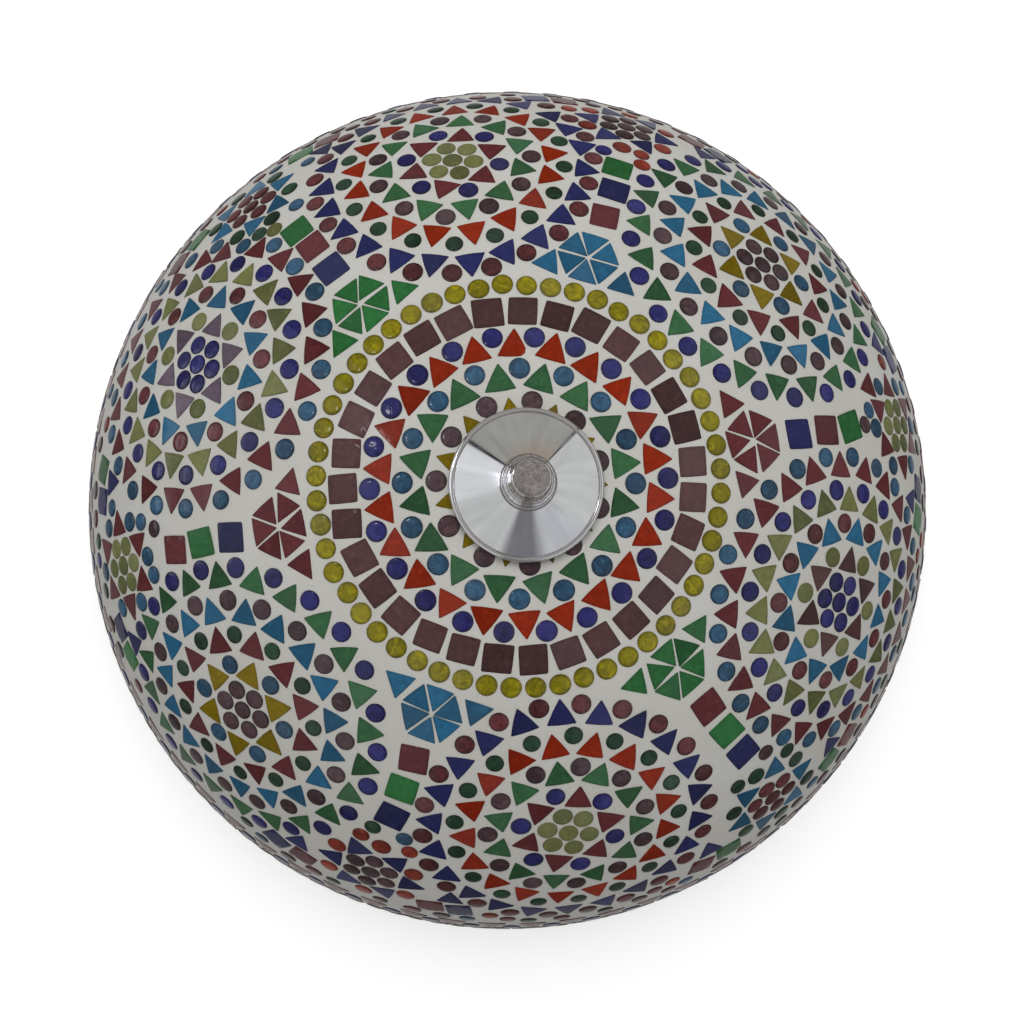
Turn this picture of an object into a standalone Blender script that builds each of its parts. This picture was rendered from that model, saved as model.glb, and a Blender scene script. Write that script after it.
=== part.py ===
"""Flush ceiling lamp with a mosaic glass bowl.

It is modelled as it lies on a bench: the face that goes against the ceiling is at z = 0, and the
finial points up. The origin is the centre of that face. Lengths are in metres, angles in degrees.
"""

import math

import bmesh
import bpy
from mathutils import Matrix, Vector

GAP = 0.0003  # left between any two pieces that touch on the real lamp
MERGE = 1e-7
SMOOTH_BELOW = 35.0
CUTTER_TWIST = 7.0  # degrees; keeps a cutter's corners off the edges of what it cuts
OVERCUT = 0.001  # how far a cutter runs past the face it breaks
CURVE_STEPS = 3  # divisions of a wire between two knots
FINE, TURNED, ROUND, SMALL = 48, 32, 20, 12  # sides of the bowl, the cap, a holder or bulb, and a screw

# The bowl: a superellipse turned about z, wide and shallow, with its rim tucked in.
BOWL_RADIUS = 0.200
BOWL_RISE = 0.1516
BOWL_POWER = 2.17
BOWL_ROWS = 9
TUCK_DEPTH = 0.030
TUCK_ROWS = 2
RIM_Z = 0.0045
SKIRT = 0.008
WIDEST_Z = RIM_Z + SKIRT
MOSAIC_THICKNESS = 0.0030
GLASS_THICKNESS = 0.0040
BOWL_HOLE_RADIUS = 0.012

# The pan: one pressed sheet, with a flange on the ceiling and a raised plate.
PAN_SHEET = 0.0012
PAN_PLATE_Z = 0.024
PAN_PLATE_RADIUS = 0.149
PAN_FOOT_RADIUS = 0.164
PAN_FLANGE_RADIUS = 0.194
PAN_WALL_LEAN = 0.6  # how far the wall's inside is moved in, as a share of the sheet
RIM_GASKET_INNER = 0.1865
RIM_GASKET_THICKNESS = 0.0027

# The hollow rod (M10 x 1) that holds the bowl up, and what clamps it to the plate.
ROD_RADIUS = 0.005
ROD_BORE = 0.0035
ROD_LOW_Z = 0.012
ROD_CLEARANCE = 0.0004
ROD_HOLE = ROD_RADIUS + ROD_CLEARANCE
NUT_ACROSS_FLATS = 0.014
NUT_THICKNESS = 0.004
WASHER_THICKNESS = 0.001
ROD_WASHER_RADIUS = 0.010

# The crossbar on the ceiling and its two studs, which hold the pan.
CROSSBAR_LENGTH = 0.150
CROSSBAR_WIDTH = 0.024
CROSSBAR_THICKNESS = 0.002
CROSSBAR_HOLE_RADIUS = 0.007
STUD_X = 0.062
STUD_RADIUS = 0.002
STUD_TOP_Z = 0.0288
SLOT_X = 0.036
SLOT_LENGTH = 0.016
SLOT_WIDTH = 0.005
SCREW_CLEARANCE = 0.0004
CAP_NUT_FLATS = 0.007
CAP_NUT_BASE = 0.0035
CAP_NUT_DOME = 0.0028
CAP_NUT_CROWN = 0.0012
CAP_NUT_STEPS = ((0.45, 0.88), (0.78, 0.50), (0.86, 0.05))  # shares of the base's radius and the dome's height
SCREW_HEAD_STEPS = ((0.7, 0.9), (1.0, 0.4))  # shares of a screw head's radius and height

# The cap over the bowl's hole, and the knob above it.
CAP_GASKET_INNER, CAP_GASKET_OUTER = 0.0255, 0.0292
CAP_GASKET_THICKNESS = 0.001
CAP_RADIUS = 0.0308
CAP_BEAD = 0.0012
CAP_EDGE_RISE = 0.002
CAP_NECK_RADIUS = 0.0108
CAP_HEIGHT = 0.015
CAP_SHEET = 0.0012
CAP_SLOPE = 31.0  # degrees of the cone below level
CAP_FILLET = 0.0016  # between the cone and the neck
CAP_FILLET_STEPS = 3
CAP_BEAD_OVERLAP = 1 / 3  # share of the bead's radius that the side runs into
CAP_UNDER_LEAN, CAP_FOOT_LEAN = 0.6, 0.3  # how far the cap's inside is moved in, as shares of the sheet
BEAD_ANGLES = (90, 45, 0, -45, -90)
KNOB_WASHER_RADIUS = 0.0094
KNOB_HEIGHT = 0.0185
KNOB_BORE_DEPTH = 0.0155
KNOB_HEAD_RADIUS = 0.00775
KNOB_HEAD_LOW = 0.0096
KNOB_CROWN = ((0.0020, 0.0), (0.0007, 0.0002), (0.0002, 0.0008))  # in from the head's side, down from its top
KNOB_CROWN_DEPTH = 0.0016
KNOB_WAIST_RADIUS = 0.0073
KNOB_WAIST_LOW, KNOB_WAIST_HIGH = 0.0080, 0.0089
KNOB_COLLAR_RADIUS = 0.0092
KNOB_COLLAR_LOW, KNOB_COLLAR_HIGH = 0.0056, 0.0069
KNOB_NECK_RADIUS = 0.0086
KNOB_NECK_LOW, KNOB_NECK_HIGH = 0.0040, 0.0050
KNOB_FLANGE_RADIUS = 0.0104
KNOB_FLANGE_HEIGHT = 0.0034
KNOB_CHAMFER = 0.0008
ROD_BELOW_BORE = 0.0015
BUSH_FLANGE_RADIUS = 0.017
BUSH_FLANGE_THICKNESS = 0.002

# One E27 lampholder and its bulb, along an axis level with the plate.
AXIS_Y = 0.042
AXIS_Z = 0.060
HOLDER_BACK_X = -0.113
HOLDER_RADIUS = 0.020
HOLDER_LENGTH = 0.052
HOLDER_FLOOR = 0.012
HOLDER_CAVITY = 0.0152
HOLDER_BACK_SHARE, HOLDER_BACK_CHAMFER = 0.9, 0.002
SHELL_RADIUS = 0.0147
SHELL_SHEET = 0.0009
SHELL_START, SHELL_END = 0.018, 0.046
CONTACT_RADIUS, CONTACT_FOOT_RADIUS = 0.003, 0.0048
CONTACT_END = 0.0223
TIP_RADIUS, TIP_POINT_RADIUS = 0.0045, 0.0036
TIP_END = 0.0250
CAP_START, CAP_END = TIP_END + GAP, 0.0500
CAP_OUTER = 0.0132
CAP_WALL = 0.0008
CAP_NOSE_SHARE, CAP_NOSE_HEIGHT = 0.55, 0.004
CAP_INSIDE_START, CAP_WALL_START = 0.002, 0.0045  # above the cap's end, at its centre and beside its wall
NECK_START = 0.0300
NECK_RADIUS = 0.0115
NECK_FLARE, NECK_FLARE_LENGTH = 0.0035, 0.010
GLASS_WALL = 0.0010
BULB_RADIUS = 0.030
BULB_CENTRE = 0.0975
BULB_END = BULB_CENTRE + BULB_RADIUS
BULB_SPHERE_STEPS = 8
BALL_START_ANGLE = -38
WIRE_HOLE_RADIUS = 0.0022
WIRE_HOLE_DEPTH = 0.005
WIRE_HOLE_SPREAD = 0.006
WIRE_HOLE_ALONG = 0.006
WIRE_END_GAP = 0.002  # between a wire's end and the bottom of its hole
WIRE_MOUTH, WIRE_LOOP = 0.004, 0.009  # where a wire straightens and turns, outside the holder's side
WIRE_LOOP_RISE = 0.010

BRACKET_SHEET = 0.0015
BRACKET_WIDTH = 0.030
BRACKET_FOOT = 0.025
BRACKET_TOP_Z = 0.076
FOOT_SCREW_SPREAD = 0.009
FOOT_SCREW_ALONG = 0.015
FOOT_SCREW_RADIUS = 0.0016
FOOT_SCREW_HEAD = 0.0032
FOOT_SCREW_LENGTH = 0.010
BACK_SCREW_LENGTH = 0.0065
BACK_SCREW_HEAD = 0.0038
HEAD_HEIGHT = 0.0022
UPRIGHT_DRILL = (-0.004, 0.002)

# Wiring on the plate.
BLOCK_CENTRE = Vector((0.095, 0.048, 0.0))
BLOCK_LENGTH, BLOCK_WIDTH, BLOCK_HEIGHT = 0.034, 0.020, 0.016
BLOCK_PITCH = 0.010
BLOCK_WIRE_Z = 0.0065
BLOCK_BORE_RADIUS = 0.0024
BLOCK_SCREW_RADIUS = 0.0021
BLOCK_SCREW_DEPTH = 0.0015  # below the block's top
BLOCK_SCREW_LIFT = 0.003  # above the wire's centre
BLOCK_FIXING_LENGTH = BLOCK_HEIGHT + 0.004
BLOCK_FIXING_HEAD, BLOCK_FIXING_HEAD_HEIGHT = 0.0025, 0.0016
CABLE_ENTRY = Vector((0.062, 0.062, 0.0))
GROMMET_RADIUS = 0.0070
GROMMET_BORE = 0.0042
GROMMET_FLANGE = 0.0095
GROMMET_LIP = 0.0018
WIRE_RADIUS = 0.0014
WIRE_Z = PAN_PLATE_Z + 0.003
WIRE_PITCH = 0.005
WIRE_IN_BLOCK, WIRE_OUT_OF_BLOCK = 0.005, 0.004
RUN_A = ((0.062, 0.088), (0.000, 0.100), (-0.065, 0.094))  # x, y of the knots of the wires to holder a
RUN_B = ((0.104, 0.012), (0.124, -0.030), (0.123, -0.062))
RUN_B_SPREAD = ((2, 1), (1, 0), (1, -1))  # how many pitches the second wire's knots are moved in x and y
EARTH_BEND = (0.1085, 0.082)
EARTH_POINT = Vector((0.090, 0.100, 0.0))
EARTH_TAG_RADIUS = 0.005
EARTH_SCREW_LENGTH = 0.009
EARTH_SCREW_HEAD = 0.0038
EARTH_APPROACH = Vector((1.0, -0.4, 0.0))
EARTH_WIRE_KNOTS = (0.0065, 0.0010)  # outside the tag

SEAT_Z = PAN_PLATE_Z + GAP
HALF_TURN = math.pi
UNITS = (("a", 0.0), ("b", HALF_TURN))


def superellipse(share, power):
    """The other coordinate of a unit superellipse, where one is `share`."""
    return max(0.0, 1.0 - share**power) ** (1.0 / power)


def bowl_top(radius):
    return WIDEST_Z + BOWL_RISE * superellipse(radius / BOWL_RADIUS, BOWL_POWER)


CAP_Z = bowl_top(CAP_GASKET_INNER) + CAP_GASKET_THICKNESS + 2 * GAP
KNOB_WASHER_Z = CAP_Z + CAP_HEIGHT + GAP
KNOB_Z = KNOB_WASHER_Z + WASHER_THICKNESS + GAP
ROD_TOP_Z = KNOB_Z + KNOB_BORE_DEPTH - ROD_BELOW_BORE


def clear_scene():
    for obj in list(bpy.data.objects):
        bpy.data.objects.remove(obj, do_unlink=True)


def make_material(name, colour, roughness, metallic=0.0):
    material = bpy.data.materials.new(name)
    material.use_nodes = True
    shader = material.node_tree.nodes["Principled BSDF"]
    shader.inputs["Base Color"].default_value = (*colour, 1.0)
    shader.inputs["Roughness"].default_value = roughness
    shader.inputs["Metallic"].default_value = metallic
    return material


def make_materials():
    return {
        "white_steel": make_material("white_steel", (0.80, 0.79, 0.76), 0.45),
        "zinc": make_material("zinc", (0.62, 0.62, 0.60), 0.38, 1.0),
        "brass": make_material("brass", (0.74, 0.57, 0.27), 0.32, 1.0),
        "chrome": make_material("chrome", (0.82, 0.83, 0.85), 0.08, 1.0),
        "rubber": make_material("rubber", (0.06, 0.06, 0.06), 0.75),
        "grommet": make_material("grommet", (0.04, 0.04, 0.04), 0.70),
        "glass": make_material("glass", (0.86, 0.89, 0.88), 0.12),
        "mosaic": make_material("mosaic", (0.42, 0.36, 0.33), 0.35),
        "porcelain": make_material("porcelain", (0.86, 0.84, 0.79), 0.25),
        "opal": make_material("opal", (0.90, 0.90, 0.88), 0.30),
        "aluminium": make_material("aluminium", (0.72, 0.73, 0.74), 0.30, 1.0),
        "block": make_material("block", (0.82, 0.80, 0.72), 0.55),
        "live": make_material("live", (0.30, 0.14, 0.06), 0.45),
        "neutral": make_material("neutral", (0.05, 0.16, 0.42), 0.45),
        "earth": make_material("earth", (0.16, 0.42, 0.10), 0.45),
        "fibre": make_material("fibre", (0.36, 0.12, 0.08), 0.80),
    }


def new_object(name, mesh, material, frame=None, parent=None):
    mesh.materials.append(material)
    mesh.shade_smooth()
    mesh.set_sharp_from_angle(angle=math.radians(SMOOTH_BELOW))
    obj = bpy.data.objects.new(name, mesh)
    bpy.context.scene.collection.objects.link(obj)
    obj.parent = parent
    obj.matrix_local = (parent.matrix_world.inverted() if parent else Matrix()) @ (frame or Matrix())
    return obj


def new_axis(name, frame, parent=None):
    """An empty on a joint's axis, which the pieces that move on that joint hang from."""
    axis = bpy.data.objects.new(name, None)
    bpy.context.scene.collection.objects.link(axis)
    axis.parent = parent
    axis.matrix_local = (parent.matrix_world.inverted() if parent else Matrix()) @ frame
    bpy.context.view_layer.update()
    return axis


def to_mesh(name, bm):
    bmesh.ops.remove_doubles(bm, verts=bm.verts, dist=MERGE)
    bmesh.ops.recalc_face_normals(bm, faces=bm.faces)
    mesh = bpy.data.meshes.new(name)
    bm.to_mesh(mesh)
    bm.free()
    return mesh


def lathe_mesh(name, profile, sides, closed):
    """Turns (radius, z) points about z. A closed profile is a ring; an open one starts and ends on the axis."""
    bm = bmesh.new()
    verts = [bm.verts.new((radius, 0.0, z)) for radius, z in profile]
    ends = verts[1:] + verts[:1] if closed else verts[1:]
    edges = [bm.edges.new(pair) for pair in zip(verts, ends)]
    bmesh.ops.spin(
        bm, geom=verts + edges, cent=(0, 0, 0), axis=(0, 0, 1), dvec=(0, 0, 0),
        angle=math.tau, steps=sides, use_merge=True, use_duplicate=False,
    )
    return to_mesh(name, bm)


def turned(name, profile, material, sides=ROUND, frame=None, parent=None):
    return new_object(name, lathe_mesh(name, profile, sides, False), material, frame, parent)


def ring(name, profile, material, sides=ROUND, frame=None, parent=None):
    return new_object(name, lathe_mesh(name, profile, sides, True), material, frame, parent)


def flat_ring(name, inner, outer, low, high, material, sides=ROUND, frame=None, parent=None):
    profile = [(inner, low), (inner, high), (outer, high), (outer, low)]
    return ring(name, profile, material, sides, frame, parent)


def box_mesh(name, low, high):
    bm = bmesh.new()
    size = Vector(high) - Vector(low)
    centre = (Vector(high) + Vector(low)) / 2
    bmesh.ops.create_cube(bm, size=1.0, matrix=Matrix.Translation(centre) @ Matrix.Diagonal((*size, 1.0)))
    return to_mesh(name, bm)


def extrude_outline(name, outline, low, high, axis):
    """A prism from an outline of 3-D points, stretched along axis from low to high."""
    bm = bmesh.new()
    face = bm.faces.new([bm.verts.new(Vector(point) + axis * low) for point in outline])
    grown = bmesh.ops.extrude_face_region(bm, geom=[face], use_keep_orig=True)
    moved = [item for item in grown["geom"] if isinstance(item, bmesh.types.BMVert)]
    bmesh.ops.translate(bm, verts=moved, vec=axis * (high - low))
    return to_mesh(name, bm)


def hide_cutter(cutter):
    cutter.hide_render = True
    cutter.display_type = "WIRE"
    return cutter


def round_cutter(name, radius, low, high, frame, sides=SMALL):
    profile = [(0.0, low), (radius, low), (radius, high), (0.0, high)]
    mesh = lathe_mesh(name, profile, sides, False)
    cutter = bpy.data.objects.new(name, mesh)
    bpy.context.scene.collection.objects.link(cutter)
    cutter.matrix_world = frame @ Matrix.Rotation(math.radians(CUTTER_TWIST), 4, "Z")
    return hide_cutter(cutter)


def cut(target, cutter):
    hole = target.modifiers.new("hole_" + cutter.name, "BOOLEAN")
    hole.operation = "DIFFERENCE"
    hole.solver = "EXACT"
    hole.object = cutter


def drill(target, name, radius, low, high, frame=None):
    cut(target, round_cutter(name, radius, low, high, frame or Matrix()))


def bowl_section(depth):
    """(radius, z) points from the hole to the rim, `depth` below the bowl's outer surface."""
    start = math.asin((BOWL_HOLE_RADIUS / BOWL_RADIUS) ** (BOWL_POWER / 2))
    points = []
    for row in range(BOWL_ROWS + 1):
        angle = start + (math.pi / 2 - start) * row / BOWL_ROWS
        across = math.sin(angle) ** (2 / BOWL_POWER)
        up = max(0.0, math.cos(angle)) ** (2 / BOWL_POWER)
        points.append(sunk_point(across, up, BOWL_RISE, 1.0, depth))
    for row in range(1, TUCK_ROWS + 1):
        down = SKIRT / TUCK_DEPTH * row / TUCK_ROWS
        points.append(sunk_point(superellipse(down, BOWL_POWER), down, TUCK_DEPTH, -1.0, depth))
    points[0] = (BOWL_HOLE_RADIUS, points[0][1])
    points[-1] = (points[-1][0], RIM_Z)
    return points


def sunk_point(across, up, rise, side, depth):
    """A point of the bowl's section moved inwards along its normal. side is -1 below the widest ring."""
    normal = Vector((across ** (BOWL_POWER - 1) / BOWL_RADIUS, side * up ** (BOWL_POWER - 1) / rise))
    normal.normalize()
    radius = across * BOWL_RADIUS - normal.x * depth
    return radius, WIDEST_Z + side * up * rise - normal.y * depth


def build_bowl(materials, dome):
    outer_face = bowl_section(0.0)
    bed = bowl_section(MOSAIC_THICKNESS)
    glass_face = bowl_section(MOSAIC_THICKNESS + GAP)
    glass_inside = bowl_section(MOSAIC_THICKNESS + GAP + GLASS_THICKNESS)
    ring("mosaic_layer", outer_face + bed[::-1], materials["mosaic"], FINE, parent=dome)
    ring("glass_bowl", glass_face + glass_inside[::-1], materials["glass"], FINE, parent=dome)


def build_bush(materials, dome):
    """The rubber bush that keeps the rod off the glass, with its flange under the bowl."""
    thickness = MOSAIC_THICKNESS + GAP + GLASS_THICKNESS
    flange_top = bowl_top(BUSH_FLANGE_RADIUS) - thickness - 2 * GAP
    tube = BOWL_HOLE_RADIUS - GAP
    top = bowl_top(BOWL_HOLE_RADIUS) - GAP
    profile = [
        (ROD_HOLE, flange_top - BUSH_FLANGE_THICKNESS),
        (BUSH_FLANGE_RADIUS, flange_top - BUSH_FLANGE_THICKNESS),
        (BUSH_FLANGE_RADIUS, flange_top),
        (tube, flange_top),
        (tube, top),
        (ROD_HOLE, top),
    ]
    ring("bowl_bush", profile, materials["rubber"], parent=dome)


def build_cap_gasket(materials, dome):
    top = CAP_Z - GAP
    profile = [
        (CAP_GASKET_INNER, bowl_top(CAP_GASKET_INNER) + GAP),
        (CAP_GASKET_OUTER, bowl_top(CAP_GASKET_OUTER) + GAP),
        (CAP_GASKET_OUTER, top),
        (CAP_GASKET_INNER, top),
    ]
    ring("cap_gasket", profile, materials["rubber"], TURNED, parent=dome)


def cap_profile():
    """A cone of thin sheet with a short neck and a rolled bead at its edge."""
    bead_radius = CAP_RADIUS - CAP_BEAD
    edge = bead_radius - CAP_BEAD * CAP_BEAD_OVERLAP
    slope = math.radians(CAP_SLOPE)
    centre = CAP_NECK_RADIUS + CAP_FILLET
    cone_top = CAP_EDGE_RISE + (edge - centre + CAP_FILLET * math.sin(slope)) * math.tan(slope)
    centre_rise = cone_top + CAP_FILLET * math.cos(slope)
    side = [(CAP_NECK_RADIUS, CAP_HEIGHT)]
    for step in range(CAP_FILLET_STEPS + 1):
        angle = math.pi + (math.pi / 2 - slope) * step / CAP_FILLET_STEPS
        side.append((centre + CAP_FILLET * math.cos(angle), centre_rise + CAP_FILLET * math.sin(angle)))
    side.append((edge, CAP_EDGE_RISE))
    bead = []
    for degrees in BEAD_ANGLES:
        angle = math.radians(degrees)
        bead.append((bead_radius + CAP_BEAD * math.cos(angle), CAP_BEAD * (1 + math.sin(angle))))
    under = [(radius - CAP_SHEET * CAP_UNDER_LEAN, rise - CAP_SHEET) for radius, rise in side[1:]]
    foot = (under[-1][0] - CAP_SHEET * CAP_FOOT_LEAN, 0.0)
    shelf = CAP_HEIGHT - CAP_SHEET
    inside = [foot] + under[::-1] + [(CAP_NECK_RADIUS - CAP_SHEET, shelf), (ROD_HOLE, shelf)]
    return [(ROD_HOLE, CAP_HEIGHT)] + side + bead + inside


def knob_profile():
    """From the crown down the outside, then up the threaded bore. A flange, two rings and a flat head."""
    flange_shoulder = KNOB_FLANGE_RADIUS - KNOB_CHAMFER
    crown = [(KNOB_HEAD_RADIUS - inset, KNOB_HEIGHT - drop) for inset, drop in KNOB_CROWN]
    rings = [
        (KNOB_HEAD_RADIUS, KNOB_HEIGHT - KNOB_CROWN_DEPTH),
        (KNOB_HEAD_RADIUS, KNOB_HEAD_LOW),
        (KNOB_WAIST_RADIUS, KNOB_WAIST_HIGH),
        (KNOB_WAIST_RADIUS, KNOB_WAIST_LOW),
        (KNOB_COLLAR_RADIUS, KNOB_COLLAR_HIGH),
        (KNOB_COLLAR_RADIUS, KNOB_COLLAR_LOW),
        (KNOB_NECK_RADIUS, KNOB_NECK_HIGH),
        (KNOB_NECK_RADIUS, KNOB_NECK_LOW),
        (flange_shoulder, KNOB_FLANGE_HEIGHT),
        (KNOB_FLANGE_RADIUS, KNOB_FLANGE_HEIGHT - KNOB_CHAMFER),
        (KNOB_FLANGE_RADIUS, KNOB_CHAMFER),
        (flange_shoulder, 0.0),
    ]
    bore = [(ROD_HOLE, 0.0), (ROD_HOLE, KNOB_BORE_DEPTH), (0.0, KNOB_BORE_DEPTH)]
    return [(0.0, KNOB_HEIGHT)] + crown + rings + bore


def build_finial(materials, dome):
    ring("finial_cap", cap_profile(), materials["chrome"], TURNED, Matrix.Translation((0, 0, CAP_Z)), dome)
    axis = new_axis("knob_axis", Matrix.Translation((0, 0, KNOB_WASHER_Z)), dome)
    frame = Matrix.Translation((0, 0, KNOB_WASHER_Z))
    flat_ring(
        "knob_washer", ROD_HOLE, KNOB_WASHER_RADIUS, 0.0, WASHER_THICKNESS,
        materials["fibre"], ROUND, frame, axis,
    )
    turned("finial_knob", knob_profile(), materials["chrome"], ROUND, Matrix.Translation((0, 0, KNOB_Z)), axis)


def hexagon_ring(name, across_flats, bore, low, high, material, frame=None):
    """A nut: a hexagon outside and a round bore, both in twelve points."""
    bm = bmesh.new()
    loops = []
    for z in (low, high):
        outer, inner = [], []
        for step in range(SMALL):
            angle = math.tau * step / SMALL
            reach = across_flats / 2 / math.cos(math.pi / 6) if step % 2 else across_flats / 2
            outer.append(bm.verts.new((reach * math.cos(angle), reach * math.sin(angle), z)))
            inner.append(bm.verts.new((bore * math.cos(angle), bore * math.sin(angle), z)))
        loops.append((outer, inner))
    (outer_low, inner_low), (outer_high, inner_high) = loops
    for a in range(SMALL):
        b = (a + 1) % SMALL
        bm.faces.new((outer_low[a], outer_low[b], outer_high[b], outer_high[a]))
        bm.faces.new((inner_low[b], inner_low[a], inner_high[a], inner_high[b]))
        bm.faces.new((outer_high[a], outer_high[b], inner_high[b], inner_high[a]))
        bm.faces.new((outer_low[b], outer_low[a], inner_low[a], inner_low[b]))
    return new_object(name, to_mesh(name, bm), material, frame)


def cap_nut(name, x, materials):
    """A domed nut with a blind bore: a hexagon base and a round crown in one lathe of six-sided steps."""
    bore = STUD_RADIUS + 2 * SCREW_CLEARANCE
    base = CAP_NUT_FLATS / 2 / math.cos(math.pi / 6)
    top = CAP_NUT_BASE + CAP_NUT_DOME
    ceiling = top - CAP_NUT_CROWN
    dome = [(base * across, CAP_NUT_BASE + CAP_NUT_DOME * up) for across, up in CAP_NUT_STEPS]
    profile = [
        (0.0, top),
        *dome,
        (base, CAP_NUT_BASE),
        (base, 0.0),
        (bore, 0.0),
        (bore, ceiling),
        (0.0, ceiling),
    ]
    turned(name, profile, materials["zinc"], 6, Matrix.Translation((x, 0.0, SEAT_Z)))


def screw_profile(shank, length, head, head_height):
    """A pan head above z = 0 and its shank below."""
    crown = [(head * across, head_height * up) for across, up in SCREW_HEAD_STEPS]
    return [
        (0.0, head_height),
        *crown,
        (head, 0.0),
        (shank, 0.0),
        (shank, -length),
        (0.0, -length),
    ]


def build_crossbar(materials):
    half, width = CROSSBAR_LENGTH / 2, CROSSBAR_WIDTH / 2
    mesh = box_mesh("crossbar", (-half, -width, 0.0), (half, width, CROSSBAR_THICKNESS))
    crossbar = new_object("crossbar", mesh, materials["zinc"])
    through = (-OVERCUT, CROSSBAR_THICKNESS + OVERCUT)
    drill(crossbar, "cutter_crossbar_middle", CROSSBAR_HOLE_RADIUS, *through)
    for side, letter in ((-1, "a"), (1, "b")):
        stud_frame = Matrix.Translation((side * STUD_X, 0, 0))
        drill(crossbar, "cutter_stud_" + letter, STUD_RADIUS + SCREW_CLEARANCE, *through, stud_frame)
        low = (side * SLOT_X - SLOT_LENGTH / 2, -SLOT_WIDTH / 2, through[0])
        high = (side * SLOT_X + SLOT_LENGTH / 2, SLOT_WIDTH / 2, through[1])
        slot = bpy.data.objects.new("cutter_slot_" + letter, box_mesh("slot", low, high))
        bpy.context.scene.collection.objects.link(slot)
        cut(crossbar, hide_cutter(slot))
        profile = [(0.0, STUD_TOP_Z), (STUD_RADIUS, STUD_TOP_Z), (STUD_RADIUS, GAP), (0.0, GAP)]
        turned("stud_" + letter, profile, materials["zinc"], SMALL, stud_frame)
        cap_nut("cap_nut_" + letter, side * STUD_X, materials)


def build_pan(materials):
    low, high = PAN_PLATE_Z - PAN_SHEET, PAN_PLATE_Z
    profile = [
        (ROD_HOLE, low),
        (ROD_HOLE, high),
        (PAN_PLATE_RADIUS, high),
        (PAN_FOOT_RADIUS, PAN_SHEET),
        (PAN_FLANGE_RADIUS, PAN_SHEET),
        (PAN_FLANGE_RADIUS, 0.0),
        (PAN_FOOT_RADIUS - PAN_SHEET * PAN_WALL_LEAN, 0.0),
        (PAN_PLATE_RADIUS - PAN_SHEET * PAN_WALL_LEAN, low),
    ]
    pan = ring("mounting_pan", profile, materials["white_steel"], FINE)
    through = (low - OVERCUT, high + OVERCUT)
    holes = [("cable", CABLE_ENTRY, GROMMET_RADIUS + GAP), ("earth", EARTH_POINT, STUD_RADIUS + SCREW_CLEARANCE)]
    holes.append(("block", block_screw_point(), FOOT_SCREW_RADIUS + SCREW_CLEARANCE))
    for letter, turn in UNITS:
        stud = Matrix.Rotation(turn, 4, "Z") @ Vector((-STUD_X, 0, 0))
        holes.append(("pan_stud_" + letter, stud, STUD_RADIUS + SCREW_CLEARANCE))
        for number, point in enumerate(foot_screw_points(turn), 1):
            holes.append((f"foot_{letter}{number}", point, FOOT_SCREW_RADIUS + SCREW_CLEARANCE))
    for name, point, radius in holes:
        drill(pan, "cutter_" + name, radius, *through, Matrix.Translation((point.x, point.y, 0)))
    flat_ring(
        "rim_gasket", RIM_GASKET_INNER, PAN_FLANGE_RADIUS - GAP, PAN_SHEET + GAP,
        PAN_SHEET + GAP + RIM_GASKET_THICKNESS, materials["rubber"], FINE,
    )


def build_rod(materials):
    flat_ring("threaded_rod", ROD_BORE, ROD_RADIUS, ROD_LOW_Z, ROD_TOP_Z, materials["zinc"])
    washer_top = SEAT_Z + WASHER_THICKNESS
    flat_ring("rod_washer", ROD_HOLE, ROD_WASHER_RADIUS, SEAT_Z, washer_top, materials["zinc"])
    front = washer_top + GAP
    hexagon_ring("rod_nut_front", NUT_ACROSS_FLATS, ROD_HOLE, front, front + NUT_THICKNESS, materials["zinc"])
    rear = PAN_PLATE_Z - PAN_SHEET - GAP
    hexagon_ring("rod_nut_rear", NUT_ACROSS_FLATS, ROD_HOLE, rear - NUT_THICKNESS, rear, materials["zinc"])


def unit_frame(turn):
    """Carries a piece turned about z onto a holder's axis, with its back at the bracket."""
    place = Matrix.Translation((HOLDER_BACK_X, AXIS_Y, AXIS_Z))
    return Matrix.Rotation(turn, 4, "Z") @ place @ Matrix.Rotation(math.pi / 2, 4, "Y")


def foot_screw_points(turn):
    along = HOLDER_BACK_X + FOOT_SCREW_ALONG
    for side in (-1, 1):
        yield Matrix.Rotation(turn, 4, "Z") @ Vector((along, AXIS_Y + side * FOOT_SCREW_SPREAD, 0.0))


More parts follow.
